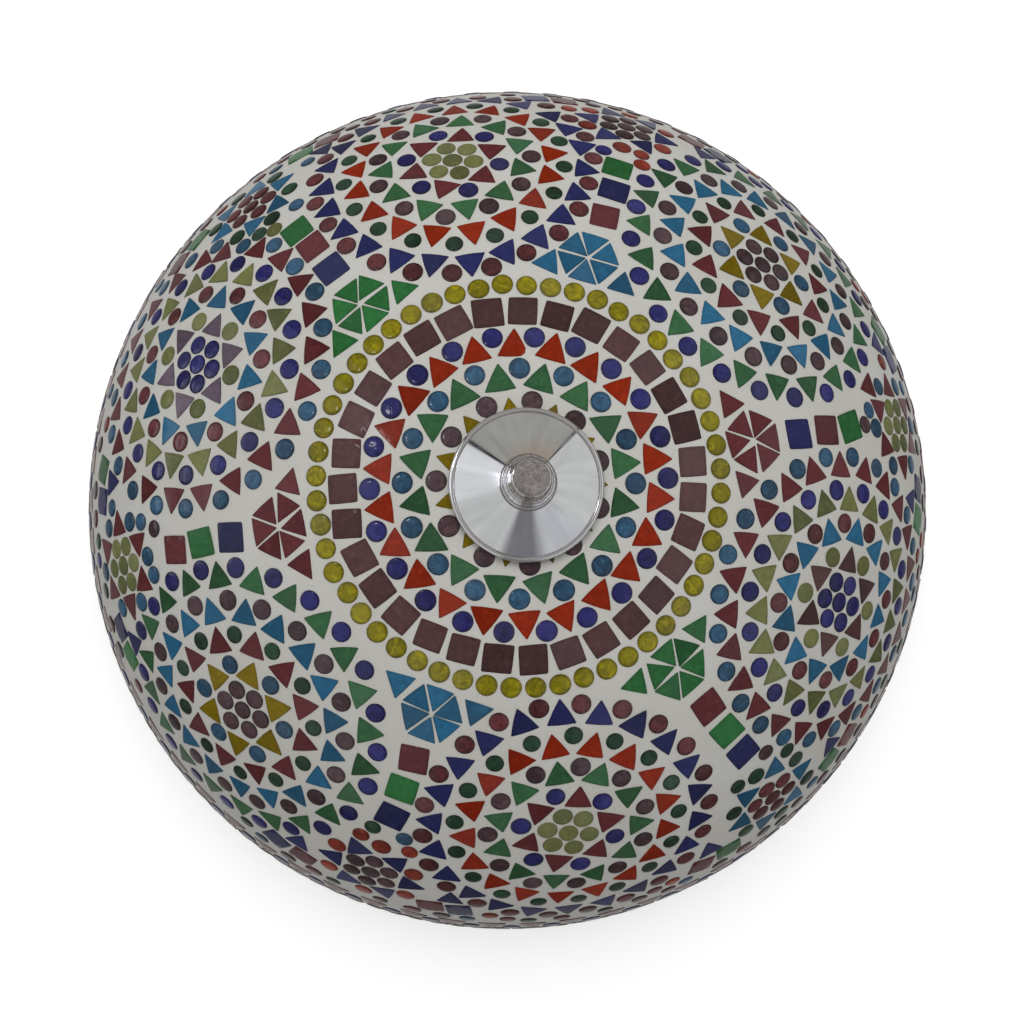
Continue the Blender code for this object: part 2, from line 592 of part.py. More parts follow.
def build_bracket(letter, turn, materials):
    """An L of strip: its foot lies on the plate under the holder, its upright carries the holder's back."""
    back = HOLDER_BACK_X - GAP
    foot_z, foot_top = SEAT_Z, SEAT_Z + BRACKET_SHEET
    outline = [
        (back - BRACKET_SHEET, 0, foot_z),
        (back + BRACKET_FOOT, 0, foot_z),
        (back + BRACKET_FOOT, 0, foot_top),
        (back, 0, foot_top),
        (back, 0, BRACKET_TOP_Z),
        (back - BRACKET_SHEET, 0, BRACKET_TOP_Z),
    ]
    half = BRACKET_WIDTH / 2
    name = "holder_bracket_" + letter
    mesh = extrude_outline(name, outline, AXIS_Y - half, AXIS_Y + half, Vector((0, 1, 0)))
    spin = Matrix.Rotation(turn, 4, "Z")
    bracket = new_object(name, mesh, materials["zinc"], spin)
    drill(bracket, "cutter_upright_" + letter, STUD_RADIUS + SCREW_CLEARANCE, *UPRIGHT_DRILL, unit_frame(turn))
    for number, point in enumerate(foot_screw_points(turn), 1):
        place = Matrix.Translation((point.x, point.y, 0))
        radius = FOOT_SCREW_RADIUS + SCREW_CLEARANCE
        drill(bracket, f"cutter_bracket_{letter}{number}", radius, foot_z - OVERCUT, foot_top + OVERCUT, place)
        profile = screw_profile(FOOT_SCREW_RADIUS, FOOT_SCREW_LENGTH, FOOT_SCREW_HEAD, HEAD_HEIGHT)
        seat = Matrix.Translation((point.x, point.y, foot_top + GAP))
        turned(f"bracket_screw_{letter}{number}", profile, materials["zinc"], SMALL, seat)
    profile = screw_profile(STUD_RADIUS, BACK_SCREW_LENGTH, BACK_SCREW_HEAD, HEAD_HEIGHT)
    behind = Matrix.Translation((0, 0, -BRACKET_SHEET - 2 * GAP)) @ Matrix.Rotation(math.pi, 4, "X")
    turned("holder_screw_" + letter, profile, materials["zinc"], SMALL, unit_frame(turn) @ behind)


def wire_holes(turn):
    """Where the two wires enter a holder's side, as frames whose z axis points out of the hole."""
    for side in (-1, 1):
        point = Vector((HOLDER_BACK_X + WIRE_HOLE_ALONG, AXIS_Y, AXIS_Z + side * WIRE_HOLE_SPREAD))
        outward = Matrix.Rotation(-math.pi / 2, 4, "X")
        yield Matrix.Rotation(turn, 4, "Z") @ Matrix.Translation(point) @ outward


def holder_side():
    """Distance from the holder's axis to its side, at the height of the wire holes."""
    return math.sqrt(HOLDER_RADIUS**2 - WIRE_HOLE_SPREAD**2)


def build_holder(letter, turn, materials):
    frame = unit_frame(turn)
    profile = [
        (0.0, 0.0),
        (HOLDER_RADIUS * HOLDER_BACK_SHARE, 0.0),
        (HOLDER_RADIUS, HOLDER_BACK_CHAMFER),
        (HOLDER_RADIUS, HOLDER_LENGTH),
        (HOLDER_CAVITY, HOLDER_LENGTH),
        (HOLDER_CAVITY, HOLDER_FLOOR),
        (0.0, HOLDER_FLOOR),
    ]
    body = turned("holder_body_" + letter, profile, materials["porcelain"], ROUND, frame)
    drill(body, "cutter_back_" + letter, STUD_RADIUS + SCREW_CLEARANCE, -OVERCUT, BACK_SCREW_LENGTH, frame)
    for number, hole in enumerate(wire_holes(turn), 1):
        low, high = holder_side() - WIRE_HOLE_DEPTH, HOLDER_RADIUS + OVERCUT
        drill(body, f"cutter_wire_{letter}{number}", WIRE_HOLE_RADIUS, low, high, hole)
    inner = SHELL_RADIUS - SHELL_SHEET
    flat_ring(
        "holder_shell_" + letter, inner, SHELL_RADIUS, SHELL_START, SHELL_END, materials["brass"], ROUND, frame
    )
    floor = HOLDER_FLOOR + GAP
    contact = [(0.0, floor), (CONTACT_FOOT_RADIUS, floor), (CONTACT_RADIUS, CONTACT_END), (0.0, CONTACT_END)]
    turned("holder_contact_" + letter, contact, materials["brass"], SMALL, frame)


def glass_profile():
    """A pear-shaped envelope with an open neck, from the neck's outside round the crown and back inside."""
    flared = (NECK_RADIUS + NECK_FLARE, CAP_END + NECK_FLARE_LENGTH)
    neck = [(NECK_RADIUS, NECK_START), (NECK_RADIUS, CAP_END), flared]
    ball = []
    for step in range(BULB_SPHERE_STEPS + 1):
        angle = math.radians(BALL_START_ANGLE + (90 - BALL_START_ANGLE) * step / BULB_SPHERE_STEPS)
        ball.append((BULB_RADIUS * max(0.0, math.cos(angle)), BULB_CENTRE + BULB_RADIUS * math.sin(angle)))
    inner_neck = [(radius - GLASS_WALL, z) for radius, z in neck]
    scale = (BULB_RADIUS - GLASS_WALL) / BULB_RADIUS
    inner_ball = [(radius * scale, BULB_CENTRE + (z - BULB_CENTRE) * scale) for radius, z in ball]
    ball[-1] = (0.0, BULB_END)
    inner_ball[-1] = (0.0, BULB_END - GLASS_WALL)
    return ball[::-1] + neck[::-1] + inner_neck + inner_ball


def build_bulb(letter, turn, materials):
    """The bulb turns and travels on its holder's axis. Its tip is apart, because it travels and need not turn."""
    frame = unit_frame(turn)
    travel = new_axis("bulb_axis_" + letter, frame)
    tip = [(0.0, CONTACT_END + GAP), (TIP_POINT_RADIUS, CONTACT_END + GAP), (TIP_RADIUS, TIP_END), (0.0, TIP_END)]
    turned("bulb_tip_" + letter, tip, materials["aluminium"], SMALL, frame, travel)
    cap = [
        (0.0, CAP_START),
        (CAP_OUTER * CAP_NOSE_SHARE, CAP_START),
        (CAP_OUTER, CAP_START + CAP_NOSE_HEIGHT),
        (CAP_OUTER, CAP_END),
        (CAP_OUTER - CAP_WALL, CAP_END),
        (CAP_OUTER - CAP_WALL, CAP_START + CAP_WALL_START),
        (0.0, CAP_START + CAP_INSIDE_START),
    ]
    turned("bulb_cap_" + letter, cap, materials["aluminium"], ROUND, frame, travel)
    turned("bulb_glass_" + letter, glass_profile(), materials["opal"], ROUND, frame, travel)


def block_screw_point():
    return BLOCK_CENTRE - Vector((BLOCK_PITCH / 2, 0, 0))


def build_terminal_block(materials):
    half = Vector((BLOCK_LENGTH / 2, BLOCK_WIDTH / 2, 0))
    low = BLOCK_CENTRE - half + Vector((0, 0, SEAT_Z))
    high = BLOCK_CENTRE + half + Vector((0, 0, SEAT_Z + BLOCK_HEIGHT))
    block = new_object("terminal_block", box_mesh("terminal_block", low, high), materials["block"])
    top = SEAT_Z + BLOCK_HEIGHT
    wire_z = SEAT_Z + BLOCK_WIRE_Z
    across = Matrix.Rotation(math.pi / 2, 4, "X")
    for number in (-1, 0, 1):
        x, y = BLOCK_CENTRE.x + number * BLOCK_PITCH, BLOCK_CENTRE.y
        bore = Matrix.Translation((x, y, wire_z)) @ across
        drill(block, f"cutter_bore_{number + 2}", BLOCK_BORE_RADIUS, -BLOCK_WIDTH, BLOCK_WIDTH, bore)
        well = Matrix.Translation((x, y, 0))
        drill(block, f"cutter_well_{number + 2}", BLOCK_SCREW_RADIUS + GAP, wire_z, top + OVERCUT, well)
        profile = [
            (0.0, top - BLOCK_SCREW_DEPTH),
            (BLOCK_SCREW_RADIUS, top - BLOCK_SCREW_DEPTH),
            (BLOCK_SCREW_RADIUS, wire_z + BLOCK_SCREW_LIFT),
            (0.0, wire_z + BLOCK_SCREW_LIFT),
        ]
        turned(f"terminal_screw_{number + 2}", profile, materials["zinc"], SMALL, well)
    point = block_screw_point()
    place = Matrix.Translation((point.x, point.y, 0))
    radius = FOOT_SCREW_RADIUS + SCREW_CLEARANCE
    drill(block, "cutter_block_screw", radius, SEAT_Z - OVERCUT, top + OVERCUT, place)
    head, head_height = BLOCK_FIXING_HEAD, BLOCK_FIXING_HEAD_HEIGHT
    profile = screw_profile(FOOT_SCREW_RADIUS, BLOCK_FIXING_LENGTH, head, head_height)
    seat = Matrix.Translation((point.x, point.y, top + GAP))
    turned("block_screw", profile, materials["zinc"], SMALL, seat)


def build_grommet(materials):
    """A rubber bush with a lip on each side of the plate."""
    low, high = PAN_PLATE_Z - PAN_SHEET - GAP, SEAT_Z
    profile = [
        (GROMMET_BORE, low - GROMMET_LIP),
        (GROMMET_BORE, high + GROMMET_LIP),
        (GROMMET_FLANGE, high + GROMMET_LIP),
        (GROMMET_FLANGE, high),
        (GROMMET_RADIUS, high),
        (GROMMET_RADIUS, low),
        (GROMMET_FLANGE, low),
        (GROMMET_FLANGE, low - GROMMET_LIP),
    ]
    ring("cable_grommet", profile, materials["grommet"], ROUND, Matrix.Translation((*CABLE_ENTRY.xy, 0)))


def wire(name, points, material):
    curve = bpy.data.curves.new(name, "CURVE")
    curve.dimensions = "3D"
    curve.resolution_u = CURVE_STEPS
    curve.bevel_depth = WIRE_RADIUS
    curve.bevel_resolution = 1
    curve.use_fill_caps = True
    curve.materials.append(material)
    spline = curve.splines.new("BEZIER")
    spline.bezier_points.add(len(points) - 1)
    for knot, point in zip(spline.bezier_points, points):
        knot.co = point
        knot.handle_left_type = "AUTO"
        knot.handle_right_type = "AUTO"
    obj = bpy.data.objects.new(name, curve)
    bpy.context.scene.collection.objects.link(obj)


def into_holder(turn, hole, low_run):
    """Points that bring a wire from the plate up beside a holder and into its side."""
    frame = list(wire_holes(turn))[hole]
    side = holder_side()
    end = frame @ Vector((0, 0, side - WIRE_HOLE_DEPTH + WIRE_END_GAP))
    mouth = frame @ Vector((0, 0, side + WIRE_MOUTH))
    above = frame @ Vector((0, 0, side + WIRE_LOOP + low_run))
    return [Vector((above.x, above.y, WIRE_Z + WIRE_LOOP_RISE)), mouth, end]


def build_wires(materials):
    wire_z = SEAT_Z + BLOCK_WIRE_Z
    inside = BLOCK_WIDTH / 2 - WIRE_IN_BLOCK
    outside = BLOCK_WIDTH / 2 + WIRE_OUT_OF_BLOCK
    for number, (name, shift) in enumerate((("live", 0.0), ("neutral", WIRE_PITCH))):
        x, y = BLOCK_CENTRE.x + (number - 1) * BLOCK_PITCH, BLOCK_CENTRE.y
        start_a = [Vector((x, y + inside, wire_z)), Vector((x, y + outside, wire_z))]
        run_a = [Vector((knot_x, knot_y + shift, WIRE_Z)) for knot_x, knot_y in RUN_A]
        wire(f"wire_{name}_a", start_a + run_a + into_holder(0.0, number, shift), materials[name])
        start_b = [Vector((x, y - inside, wire_z)), Vector((x, y - outside, wire_z))]
        run_b = []
        for (knot_x, knot_y), (across, along) in zip(RUN_B, RUN_B_SPREAD):
            run_b.append(Vector((knot_x + across * shift, knot_y + along * shift, WIRE_Z)))
        wire(f"wire_{name}_b", start_b + run_b + into_holder(HALF_TURN, number, shift), materials[name])
    build_earth(materials, wire_z, inside, outside)


def build_earth(materials, wire_z, inside, outside):
    x, y = BLOCK_CENTRE.x + BLOCK_PITCH, BLOCK_CENTRE.y
    tag_z = SEAT_Z + WASHER_THICKNESS
    place = Matrix.Translation((*EARTH_POINT.xy, 0))
    hole = STUD_RADIUS + SCREW_CLEARANCE
    flat_ring("earth_tag", hole, EARTH_TAG_RADIUS, SEAT_Z, tag_z, materials["brass"], SMALL, place)
    profile = screw_profile(STUD_RADIUS, EARTH_SCREW_LENGTH, EARTH_SCREW_HEAD, HEAD_HEIGHT)
    turned("earth_screw", profile, materials["brass"], SMALL, Matrix.Translation((*EARTH_POINT.xy, tag_z + GAP)))
    low_z = SEAT_Z + WIRE_RADIUS + GAP
    towards = EARTH_APPROACH.normalized()
    points = [
        Vector((x, y + inside, wire_z)),
        Vector((x, y + outside, wire_z)),
        Vector((*EARTH_BEND, WIRE_Z)),
    ]
    for knot in EARTH_WIRE_KNOTS:
        points.append(EARTH_POINT + towards * (EARTH_TAG_RADIUS + knot) + Vector((0, 0, low_z)))
    wire("wire_earth", points, materials["earth"])


def build_lamp():
    materials = make_materials()
    build_crossbar(materials)
    build_pan(materials)
    build_rod(materials)
    for letter, turn in UNITS:
        build_bracket(letter, turn, materials)
        build_holder(letter, turn, materials)
        build_bulb(letter, turn, materials)
    build_terminal_block(materials)
    build_grommet(materials)
    build_wires(materials)
    dome = new_axis("bowl_axis", Matrix())
    build_bowl(materials, dome)
    build_bush(materials, dome)
    build_cap_gasket(materials, dome)
    build_finial(materials, dome)


clear_scene()
build_lamp()
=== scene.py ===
"""Looks of the flush mosaic lamp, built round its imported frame: mosaic, finial, fittings and studio."""

import math
import random

import bmesh
import bpy
import numpy as np
from mathutils import Matrix, Vector, noise


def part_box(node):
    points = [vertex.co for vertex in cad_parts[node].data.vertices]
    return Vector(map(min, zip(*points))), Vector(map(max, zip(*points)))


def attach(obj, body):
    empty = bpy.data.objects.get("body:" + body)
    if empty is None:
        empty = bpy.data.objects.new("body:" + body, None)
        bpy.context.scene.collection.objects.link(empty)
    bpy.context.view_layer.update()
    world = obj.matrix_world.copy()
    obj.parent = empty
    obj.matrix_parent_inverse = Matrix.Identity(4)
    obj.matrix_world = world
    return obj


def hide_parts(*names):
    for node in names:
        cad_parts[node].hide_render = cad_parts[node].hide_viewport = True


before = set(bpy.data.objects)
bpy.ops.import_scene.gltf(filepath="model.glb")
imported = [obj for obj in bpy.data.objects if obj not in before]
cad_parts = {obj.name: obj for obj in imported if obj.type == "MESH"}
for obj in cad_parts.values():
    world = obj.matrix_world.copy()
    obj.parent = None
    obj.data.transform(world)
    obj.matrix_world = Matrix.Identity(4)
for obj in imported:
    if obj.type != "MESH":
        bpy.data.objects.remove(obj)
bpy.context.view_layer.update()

MM = 0.001
DICE = random.Random(41)
SMOOTH_BELOW = 32.0  # degrees between two faces that are shaded as one surface

# The bowl's outer face, a superellipse turned about z, as the frame has it.
BOWL_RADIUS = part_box("mosaic_layer")[1].x
BOWL_RISE, BOWL_POWER = 0.1516, 2.17
TUCK_DEPTH, SKIRT = 0.030, 0.008
RIM_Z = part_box("mosaic_layer")[0].z
WIDEST_Z = RIM_Z + SKIRT
HOLE_RADIUS = 0.012
MOSAIC_THICKNESS = 0.003
GLASS_THICKNESS = 0.004
GAP = 0.0003

# How far below that face each surface of the mosaic lies.
GROUT_SINK = 0.70 * MM
FLAT_SINK = 0.48 * MM
DOT_SINK = 0.62 * MM
CHIP_DEPTH = 1.1 * MM
CHIP_GAP = 0.55 * MM


# ---------------------------------------------------------------- materials

def linear(red, green, blue):
    """A colour given as 0 to 255 in sRGB, as the linear values that shaders take."""
    shares = [part / 255 for part in (red, green, blue)]
    return tuple(share / 12.92 if share <= 0.04045 else ((share + 0.055) / 1.055) ** 2.4 for share in shares)


def darker(colour, factor):
    return tuple(part * factor for part in colour)


def brighter(colour):
    """A lighter, slightly warmer form of a glass colour, for the clouds in it."""
    red, green, blue = colour
    return red * 2.1 + 0.008, green * 2.0 + 0.006, blue * 1.7 + 0.004


class Nodes:
    """Short calls for building a node tree. Colours are (red, green, blue)."""

    def __init__(self, owner, coordinate):
        owner.use_nodes = True
        self.tree = owner.node_tree
        self.nodes = self.tree.nodes
        self.place = self.node("TexCoord").outputs[coordinate]

    def feed(self, socket, value):
        if isinstance(value, bpy.types.NodeSocket):
            self.tree.links.new(value, socket)
        else:
            socket.default_value = (*value, 1.0) if socket.type == "RGBA" else value

    def node(self, kind, inputs=None, **settings):
        made = self.nodes.new("ShaderNode" + kind)
        for name, value in settings.items():
            setattr(made, name, value)
        for name, value in (inputs or {}).items():
            self.feed(made.inputs[name], value)
        return made

    def maths(self, operation, first, second=0.5):
        return self.node("Math", {0: first, 1: second}, operation=operation).outputs[0]

    def times(self, first, *others):
        for other in others:
            first = self.maths("MULTIPLY", first, other)
        return first

    def vector(self, operation, first, second=(0.0, 0.0, 0.0)):
        made = self.node("VectorMath", {0: first}, operation=operation)
        self.feed(made.inputs["Scale" if operation == "SCALE" else 1], second)
        return made.outputs["Value" if operation == "LENGTH" else "Vector"]

    def joined(self, **parts):
        return self.node("CombineXYZ", parts).outputs[0]

    def noise(self, scale, detail=2.0, roughness=0.5, distortion=0.0, place=None):
        inputs = {
            "Vector": place or self.place, "Scale": scale, "Detail": detail,
            "Roughness": roughness, "Distortion": distortion,
        }
        return self.node("TexNoise", inputs).outputs["Fac"]

    def spread(self, value, low, high, new_low=0.0, new_high=1.0):
        inputs = {"Value": value, "From Min": low, "From Max": high, "To Min": new_low, "To Max": new_high}
        return self.node("MapRange", inputs).outputs["Result"]

    def within(self, value, low, full, last_full, high):
        """0 below `low` and above `high`, 1 from `full` to `last_full`."""
        return self.times(self.spread(value, low, full), self.spread(value, high, last_full))

    def mix(self, share, first, second, blend="MIX"):
        made = self.node("Mix", {0: share, 6: first, 7: second}, data_type="RGBA", blend_type=blend)
        return made.outputs[2]


class Finish(Nodes):
    """A Principled material and the procedural nodes that feed it."""

    def __init__(self, name, colour, roughness, metallic=0.0, **more):
        self.material = bpy.data.materials.new(name)
        super().__init__(self.material, "Object")
        self.surface = self.nodes["Principled BSDF"]
        self.set("Base Color", colour)
        self.set("Roughness", roughness)
        self.set("Metallic", metallic)
        for socket, value in more.items():
            self.set(socket.replace("_", " "), value)

    def set(self, socket, value):
        self.feed(self.surface.inputs[socket], value)

    def rough(self, cloud, low, high):
        self.set("Roughness", self.spread(cloud, 0.3, 0.7, low, high))

    def bump(self, height, depth, strength, normal=None):
        """Depth in mm."""
        inputs = {"Height": height, "Distance": depth * MM, "Strength": strength}
        if normal:
            inputs["Normal"] = normal
        bumped = self.node("Bump", inputs).outputs["Normal"]
        self.set("Normal", bumped)
        return bumped

    def crevice(self, distance):
        """1 in the open, falling towards 0 in corners nearer than `distance`: the mask for painted shade."""
        return self.node("AmbientOcclusion", {"Distance": distance}, samples=6).outputs["AO"]


def chip_glass(name, colour, specular, rim, variety, clouding):
    """Opaque stained glass. Each chip has its own depth of colour and clouds, a faint painted grey sheen,
    painted glint specks, and painted shade that darkens its rim while its middle is a little lighter.
    """
    finish = Finish(name, colour, 0.2, IOR=1.5, Specular_IOR_Level=specular)
    chance = finish.node("NewGeometry").outputs["Random Per Island"]
    other = finish.maths("FRACT", finish.times(chance, 17.31))
    place = finish.vector("ADD", finish.place, finish.vector("SCALE", (3.1, 5.3, 7.7), chance))
    cloud = finish.noise(260.0, 3.0, 0.55, 1.2, place)
    fine = finish.noise(1100.0, 3.0, 0.65, 0.8, place)
    glint_specks = finish.noise(620.0, 2.0, 0.6, 2.5, place)
    ripple = finish.noise(420.0, 2.0, 0.5, 0.6, place)
    edge = finish.node("Attribute", attribute_name="edge").outputs["Fac"]
    # The last factor is painted shade: darker towards each chip's rim (edge near 1) and a little lighter in
    # its middle, as a domed or pillowed face would be lit.
    depth = finish.times(
        finish.spread(chance, 0.0, 1.0, 1.0 - variety, 1.0 + variety * 0.85),
        finish.spread(cloud, 0.3, 0.7, 1.0 - 0.34 * clouding, 1.0 + 0.38 * clouding),
        finish.spread(fine, 0.3, 0.7, 1.0 - 0.18 * clouding, 1.0 + 0.18 * clouding),
        finish.spread(edge, 0.70, 0.97, 1.06, rim))
    tinted = finish.mix(1.0, colour, depth, "MULTIPLY")
    # Painted sheen: each chip gets a random faint grey veil, like a reflection on its face.
    sheen_veiled = finish.mix(finish.spread(other, 0.5, 1.0, 0.0, 0.03), tinted, SHEEN_GREY)
    bright = finish.mix(finish.spread(cloud, 0.58, 0.78, 0.0, 0.5 * clouding), sheen_veiled, brighter(colour))
    # Painted highlights: small pale specks stand in for glints on the glass.
    bright = finish.mix(finish.spread(glint_specks, 0.66, 0.80, 0.0, 0.26 * clouding), bright, SHEEN_GREY)
    finish.set("Base Color", bright)
    finish.rough(cloud, 0.05, 0.13)
    finish.bump(ripple, 0.10 * clouding, 0.6)
    return finish.material


def grout_material():
    colour, stained, dust, shaded = (190, 189, 185), (184, 182, 175), (140, 134, 122), (148, 143, 132)
    finish = Finish("grout", linear(*colour), 0.62, IOR=1.45)
    stain = finish.noise(26.0, 4.0, 0.6)
    speck = finish.noise(900.0, 2.0, 0.7)
    # Painted shade: the grout darkens towards the shaded colour in the corners next to the chips.
    open_face = finish.spread(finish.crevice(1.6 * MM), 0.35, 0.95)
    toned = finish.mix(finish.spread(stain, 0.35, 0.7), linear(*colour), linear(*stained))
    dusty = finish.mix(finish.spread(speck, 0.62, 0.75, 0.0, 0.35), toned, linear(*dust))
    finish.set("Base Color", finish.mix(open_face, linear(*shaded), dusty))
    finish.rough(stain, 0.50, 0.72)
    trowelled = finish.bump(finish.noise(160.0, 2.0, 0.5), 0.12, 0.6)
    finish.bump(finish.noise(1500.0, 3.0, 0.6), 0.03, 0.5, trowelled)
    return finish.material


def chrome_material(name, ring_scale, ring_depth, stained):
    """Bright plate with a faint haze, rings from the lathe about z and a few hairline scratches."""
    bright, tarnished = (0.80, 0.80, 0.81), (0.24, 0.21, 0.22)
    finish = Finish(name, bright, 0.07, 1.0)
    across = finish.vector("LENGTH", finish.vector("MULTIPLY", finish.place, (1.0, 1.0, 0.0)))
    rings = finish.noise(1.0, 3.0, 0.7, 0.0, finish.joined(X=finish.times(across, ring_scale)))
    haze = finish.noise(60.0, 4.0, 0.6)
    scratch = finish.noise(45.0, 6.0, 0.8, 6.0)
    stain = finish.spread(finish.noise(340.0, 4.0, 0.7, 2.2), 0.38, 0.66, 0.0, stained)
    finish.set("Base Color", finish.mix(stain, bright, tarnished))
    finish.set("Roughness", finish.maths("ADD", finish.spread(haze, 0.35, 0.7, 0.045, 0.13),
                                         finish.spread(scratch, 0.64, 0.70, 0.0, 0.08)))
    finish.bump(rings, ring_depth, 0.35)
    return finish.material


def metal_material(name, colour, roughness, grain, tarnish):
    finish = Finish(name, colour, roughness, 1.0)
    cloud = finish.noise(grain, 4.0, 0.6)
    finish.set("Base Color", finish.mix(finish.spread(cloud, 0.42, 0.72), colour, tarnish))
    finish.rough(cloud, roughness * 0.8, roughness * 1.35)
    finish.bump(finish.noise(grain * 14, 3.0, 0.6), 0.012, 0.5)
    return finish.material


def plastic_material(name, colour, roughness, grain, depth, **more):
    """Moulded or sprayed material: a slight change of tone, painted shade in corners and recesses, and a fine
    skin.
    """
    finish = Finish(name, colour, roughness, **more)
    cloud = finish.noise(55.0, 3.0, 0.6)
    # Painted shade: the colour darkens to 55 % in corners nearer than 2.5 mm.
    unshaded = finish.spread(finish.crevice(2.5 * MM), 0.3, 0.9)
    toned = finish.mix(finish.spread(cloud, 0.35, 0.7), colour, darker(colour, 0.90))
    finish.set("Base Color", finish.mix(unshaded, darker(colour, 0.55), toned))
    finish.rough(cloud, roughness * 0.85, roughness * 1.2)
    finish.bump(finish.noise(grain, 3.0, 0.6), depth, 0.6)
    return finish.material


def pressed_glass_material():
    """Clear bowl glass, with the slow waves and the odd seed of pressed glass."""
    finish = Finish("bowl_glass", (0.93, 0.96, 0.95), 0.03, IOR=1.5, Transmission_Weight=0.85)
    wave = finish.noise(24.0, 2.0, 0.5)
    seeds = finish.noise(420.0, 1.0, 0.5)
    finish.rough(wave, 0.02, 0.10)
    waved = finish.bump(wave, 0.5, 0.4)
    finish.bump(finish.spread(seeds, 0.72, 0.78), 0.05, 0.4, waved)
    return finish.material


def opal_material():
    finish = Finish("opal_glass", (0.88, 0.88, 0.86), 0.16, IOR=1.5, Coat_Weight=0.4, Coat_Roughness=0.05)
    wave = finish.noise(35.0, 2.0, 0.5)
    milk, thin = (0.90, 0.90, 0.88), (0.80, 0.81, 0.80)
    finish.set("Base Color", finish.mix(finish.spread(wave, 0.3, 0.7), milk, thin))
    finish.rough(wave, 0.12, 0.24)
    finish.bump(wave, 0.2, 0.3)
    return finish.material


# Stained-glass colours as seen in even light. `glass_tint` takes off what the face mirrors.
MIRRORED = 0.008
LIT = 0.98
DARKEST = 0.002
# The grey of the chips' painted sheen and painted glint specks.
SHEEN_GREY = (0.44, 0.45, 0.50)
ALWAYS_ROUND = ("deep_green", "maroon_dot", "navy_dot", "teal", "brown_dot", "yellow", "red_dot")
FLAT, DOMED = (0.14, 0.87, 0.45), (0.30, 0.50, 1.0)  # specular, painted shade at a chip's edge, strength of clouds
EVEN_COLOURS = ("yellow", "red", "maroon")
EVEN_VARIETY, VARIETY = 0.20, 0.36


def glass_tint(red, green, blue):
    return tuple(max(DARKEST, (part - MIRRORED) / LIT) for part in linear(red, green, blue))


GLASS_COLOURS = {
    "green": (52, 86, 58), "deep_green": (37, 57, 44), "leaf": (45, 92, 53), "olive": (96, 100, 64),
    "red": (122, 41, 26), "red_dot": (118, 50, 40), "maroon": (86, 45, 48), "maroon_dot": (81, 45, 48),
    "navy": (41, 43, 79), "navy_dot": (42, 41, 88), "teal": (46, 74, 97), "cyan": (42, 86, 114),
    "lilac": (90, 78, 90), "brown": (75, 54, 55), "brown_dot": (67, 52, 56),
    "yellow": (118, 110, 10), "amber": (103, 88, 12),
}


# ---------------------------------------------------------------- mesh building

def add_object(name, data):
    obj = bpy.data.objects.new(name, data)
    bpy.context.scene.collection.objects.link(obj)
    return obj


def add_piece(name, mesh, material, body, node, sharp=SMOOTH_BELOW):
    """A visible piece that rides on a body and stands for a CAD node, which it hides."""
    bm = bmesh.new()
    bm.from_mesh(mesh)
    bmesh.ops.recalc_face_normals(bm, faces=bm.faces)
    bm.to_mesh(mesh)
    bm.free()
    mesh.name = name
    mesh.materials.append(material)
    mesh.shade_smooth()
    mesh.set_sharp_from_angle(angle=math.radians(sharp))
    obj = add_object(name, mesh)
    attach(obj, body)
    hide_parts(node)
    return obj


def build_mesh(points, faces, place=None):
    mesh = bpy.data.meshes.new("piece")
    mesh.from_pydata([tuple(point) for point in points], [], faces)
    if place:
        mesh.transform(place)
    mesh.update()
    return mesh


def band(low, high, size):
    """Faces between two rings of `size` points, numbered from `low` and from `high`."""
    pairs = [(side, (side + 1) % size) for side in range(size)]
    return [(low + side, low + after, high + after, high + side) for side, after in pairs]


AXIS_WIDTH = 1e-7


def turned_mesh(profile, sides=96, closed=True, thread=None, place=None):
    """Turns (radius, z) points about z. `thread` is (pitch, depth, low, high): a rounded helix between two
    heights. `closed` joins the profile's end to its start; an open one starts and ends on the axis."""
    points, rows = [], []
    for radius, z in profile:
        turned = [math.tau * side / sides for side in range(sides)] if radius > AXIS_WIDTH else []
        rows.append((len(points), bool(turned)))
        for angle in turned:
            reach = radius + swell(thread, z, angle)
            points.append((reach * math.cos(angle), reach * math.sin(angle), z))
        if not turned:
            points.append((0.0, 0.0, z))
    faces = []
    for (low, low_wide), (high, high_wide) in zip(rows, rows[1:] + rows[:1] if closed else rows[1:]):
        quads = band(low, high, sides)
        if low_wide and high_wide:
            faces += quads
        elif low_wide:
            faces += [(one, two, high) for one, two, _, _ in quads]
        elif high_wide:
            faces += [(low, two, one) for _, _, two, one in quads]
    return build_mesh(points, faces, place)


def swell(thread, z, angle):
    if not thread:
        return 0.0
    pitch, depth, low, high = thread
    fade = max(0.0, min(1.0, (z - low) / pitch * 2, (high - z) / pitch * 2))
    return depth * fade * math.cos(angle - math.tau * z / pitch)


def add_turned(name, profile, material, body, node, slot, sharp=SMOOTH_BELOW, **shape):
    return add_piece(name, turned_mesh(profile, **shape), material, body, node, sharp)


def polar(radius, degrees):
    return radius * math.cos(math.radians(degrees)), radius * math.sin(math.radians(degrees))


def arc(centre_r, centre_z, radius, start, end, steps=6):
    """Points of a round stretch of a profile, with its angles in degrees from the +r direction."""
    angles = [math.radians(start + (end - start) * step / steps) for step in range(steps + 1)]
    return [(centre_r + radius * math.cos(angle), centre_z + radius * math.sin(angle)) for angle in angles]


def straight(start, end, steps):
    shares = [step / steps for step in range(steps + 1)]
    return [tuple(one + (two - one) * share for one, two in zip(start, end)) for share in shares]


def rounded(inner, outer, low, high, edge, steps=4):
    """The section of a ring, a rectangle with round corners."""
    right, left, top, foot = outer - edge, inner + edge, high - edge, low + edge
    corners = ((right, top, 90), (right, foot, 0), (left, foot, 270), (left, top, 180))
    return [point for r, z, start in corners for point in arc(r, z, edge, start, start - 90, steps)]


def shift(x=0.0, y=0.0, z=0.0):
    return Matrix.Translation((x, y, z))


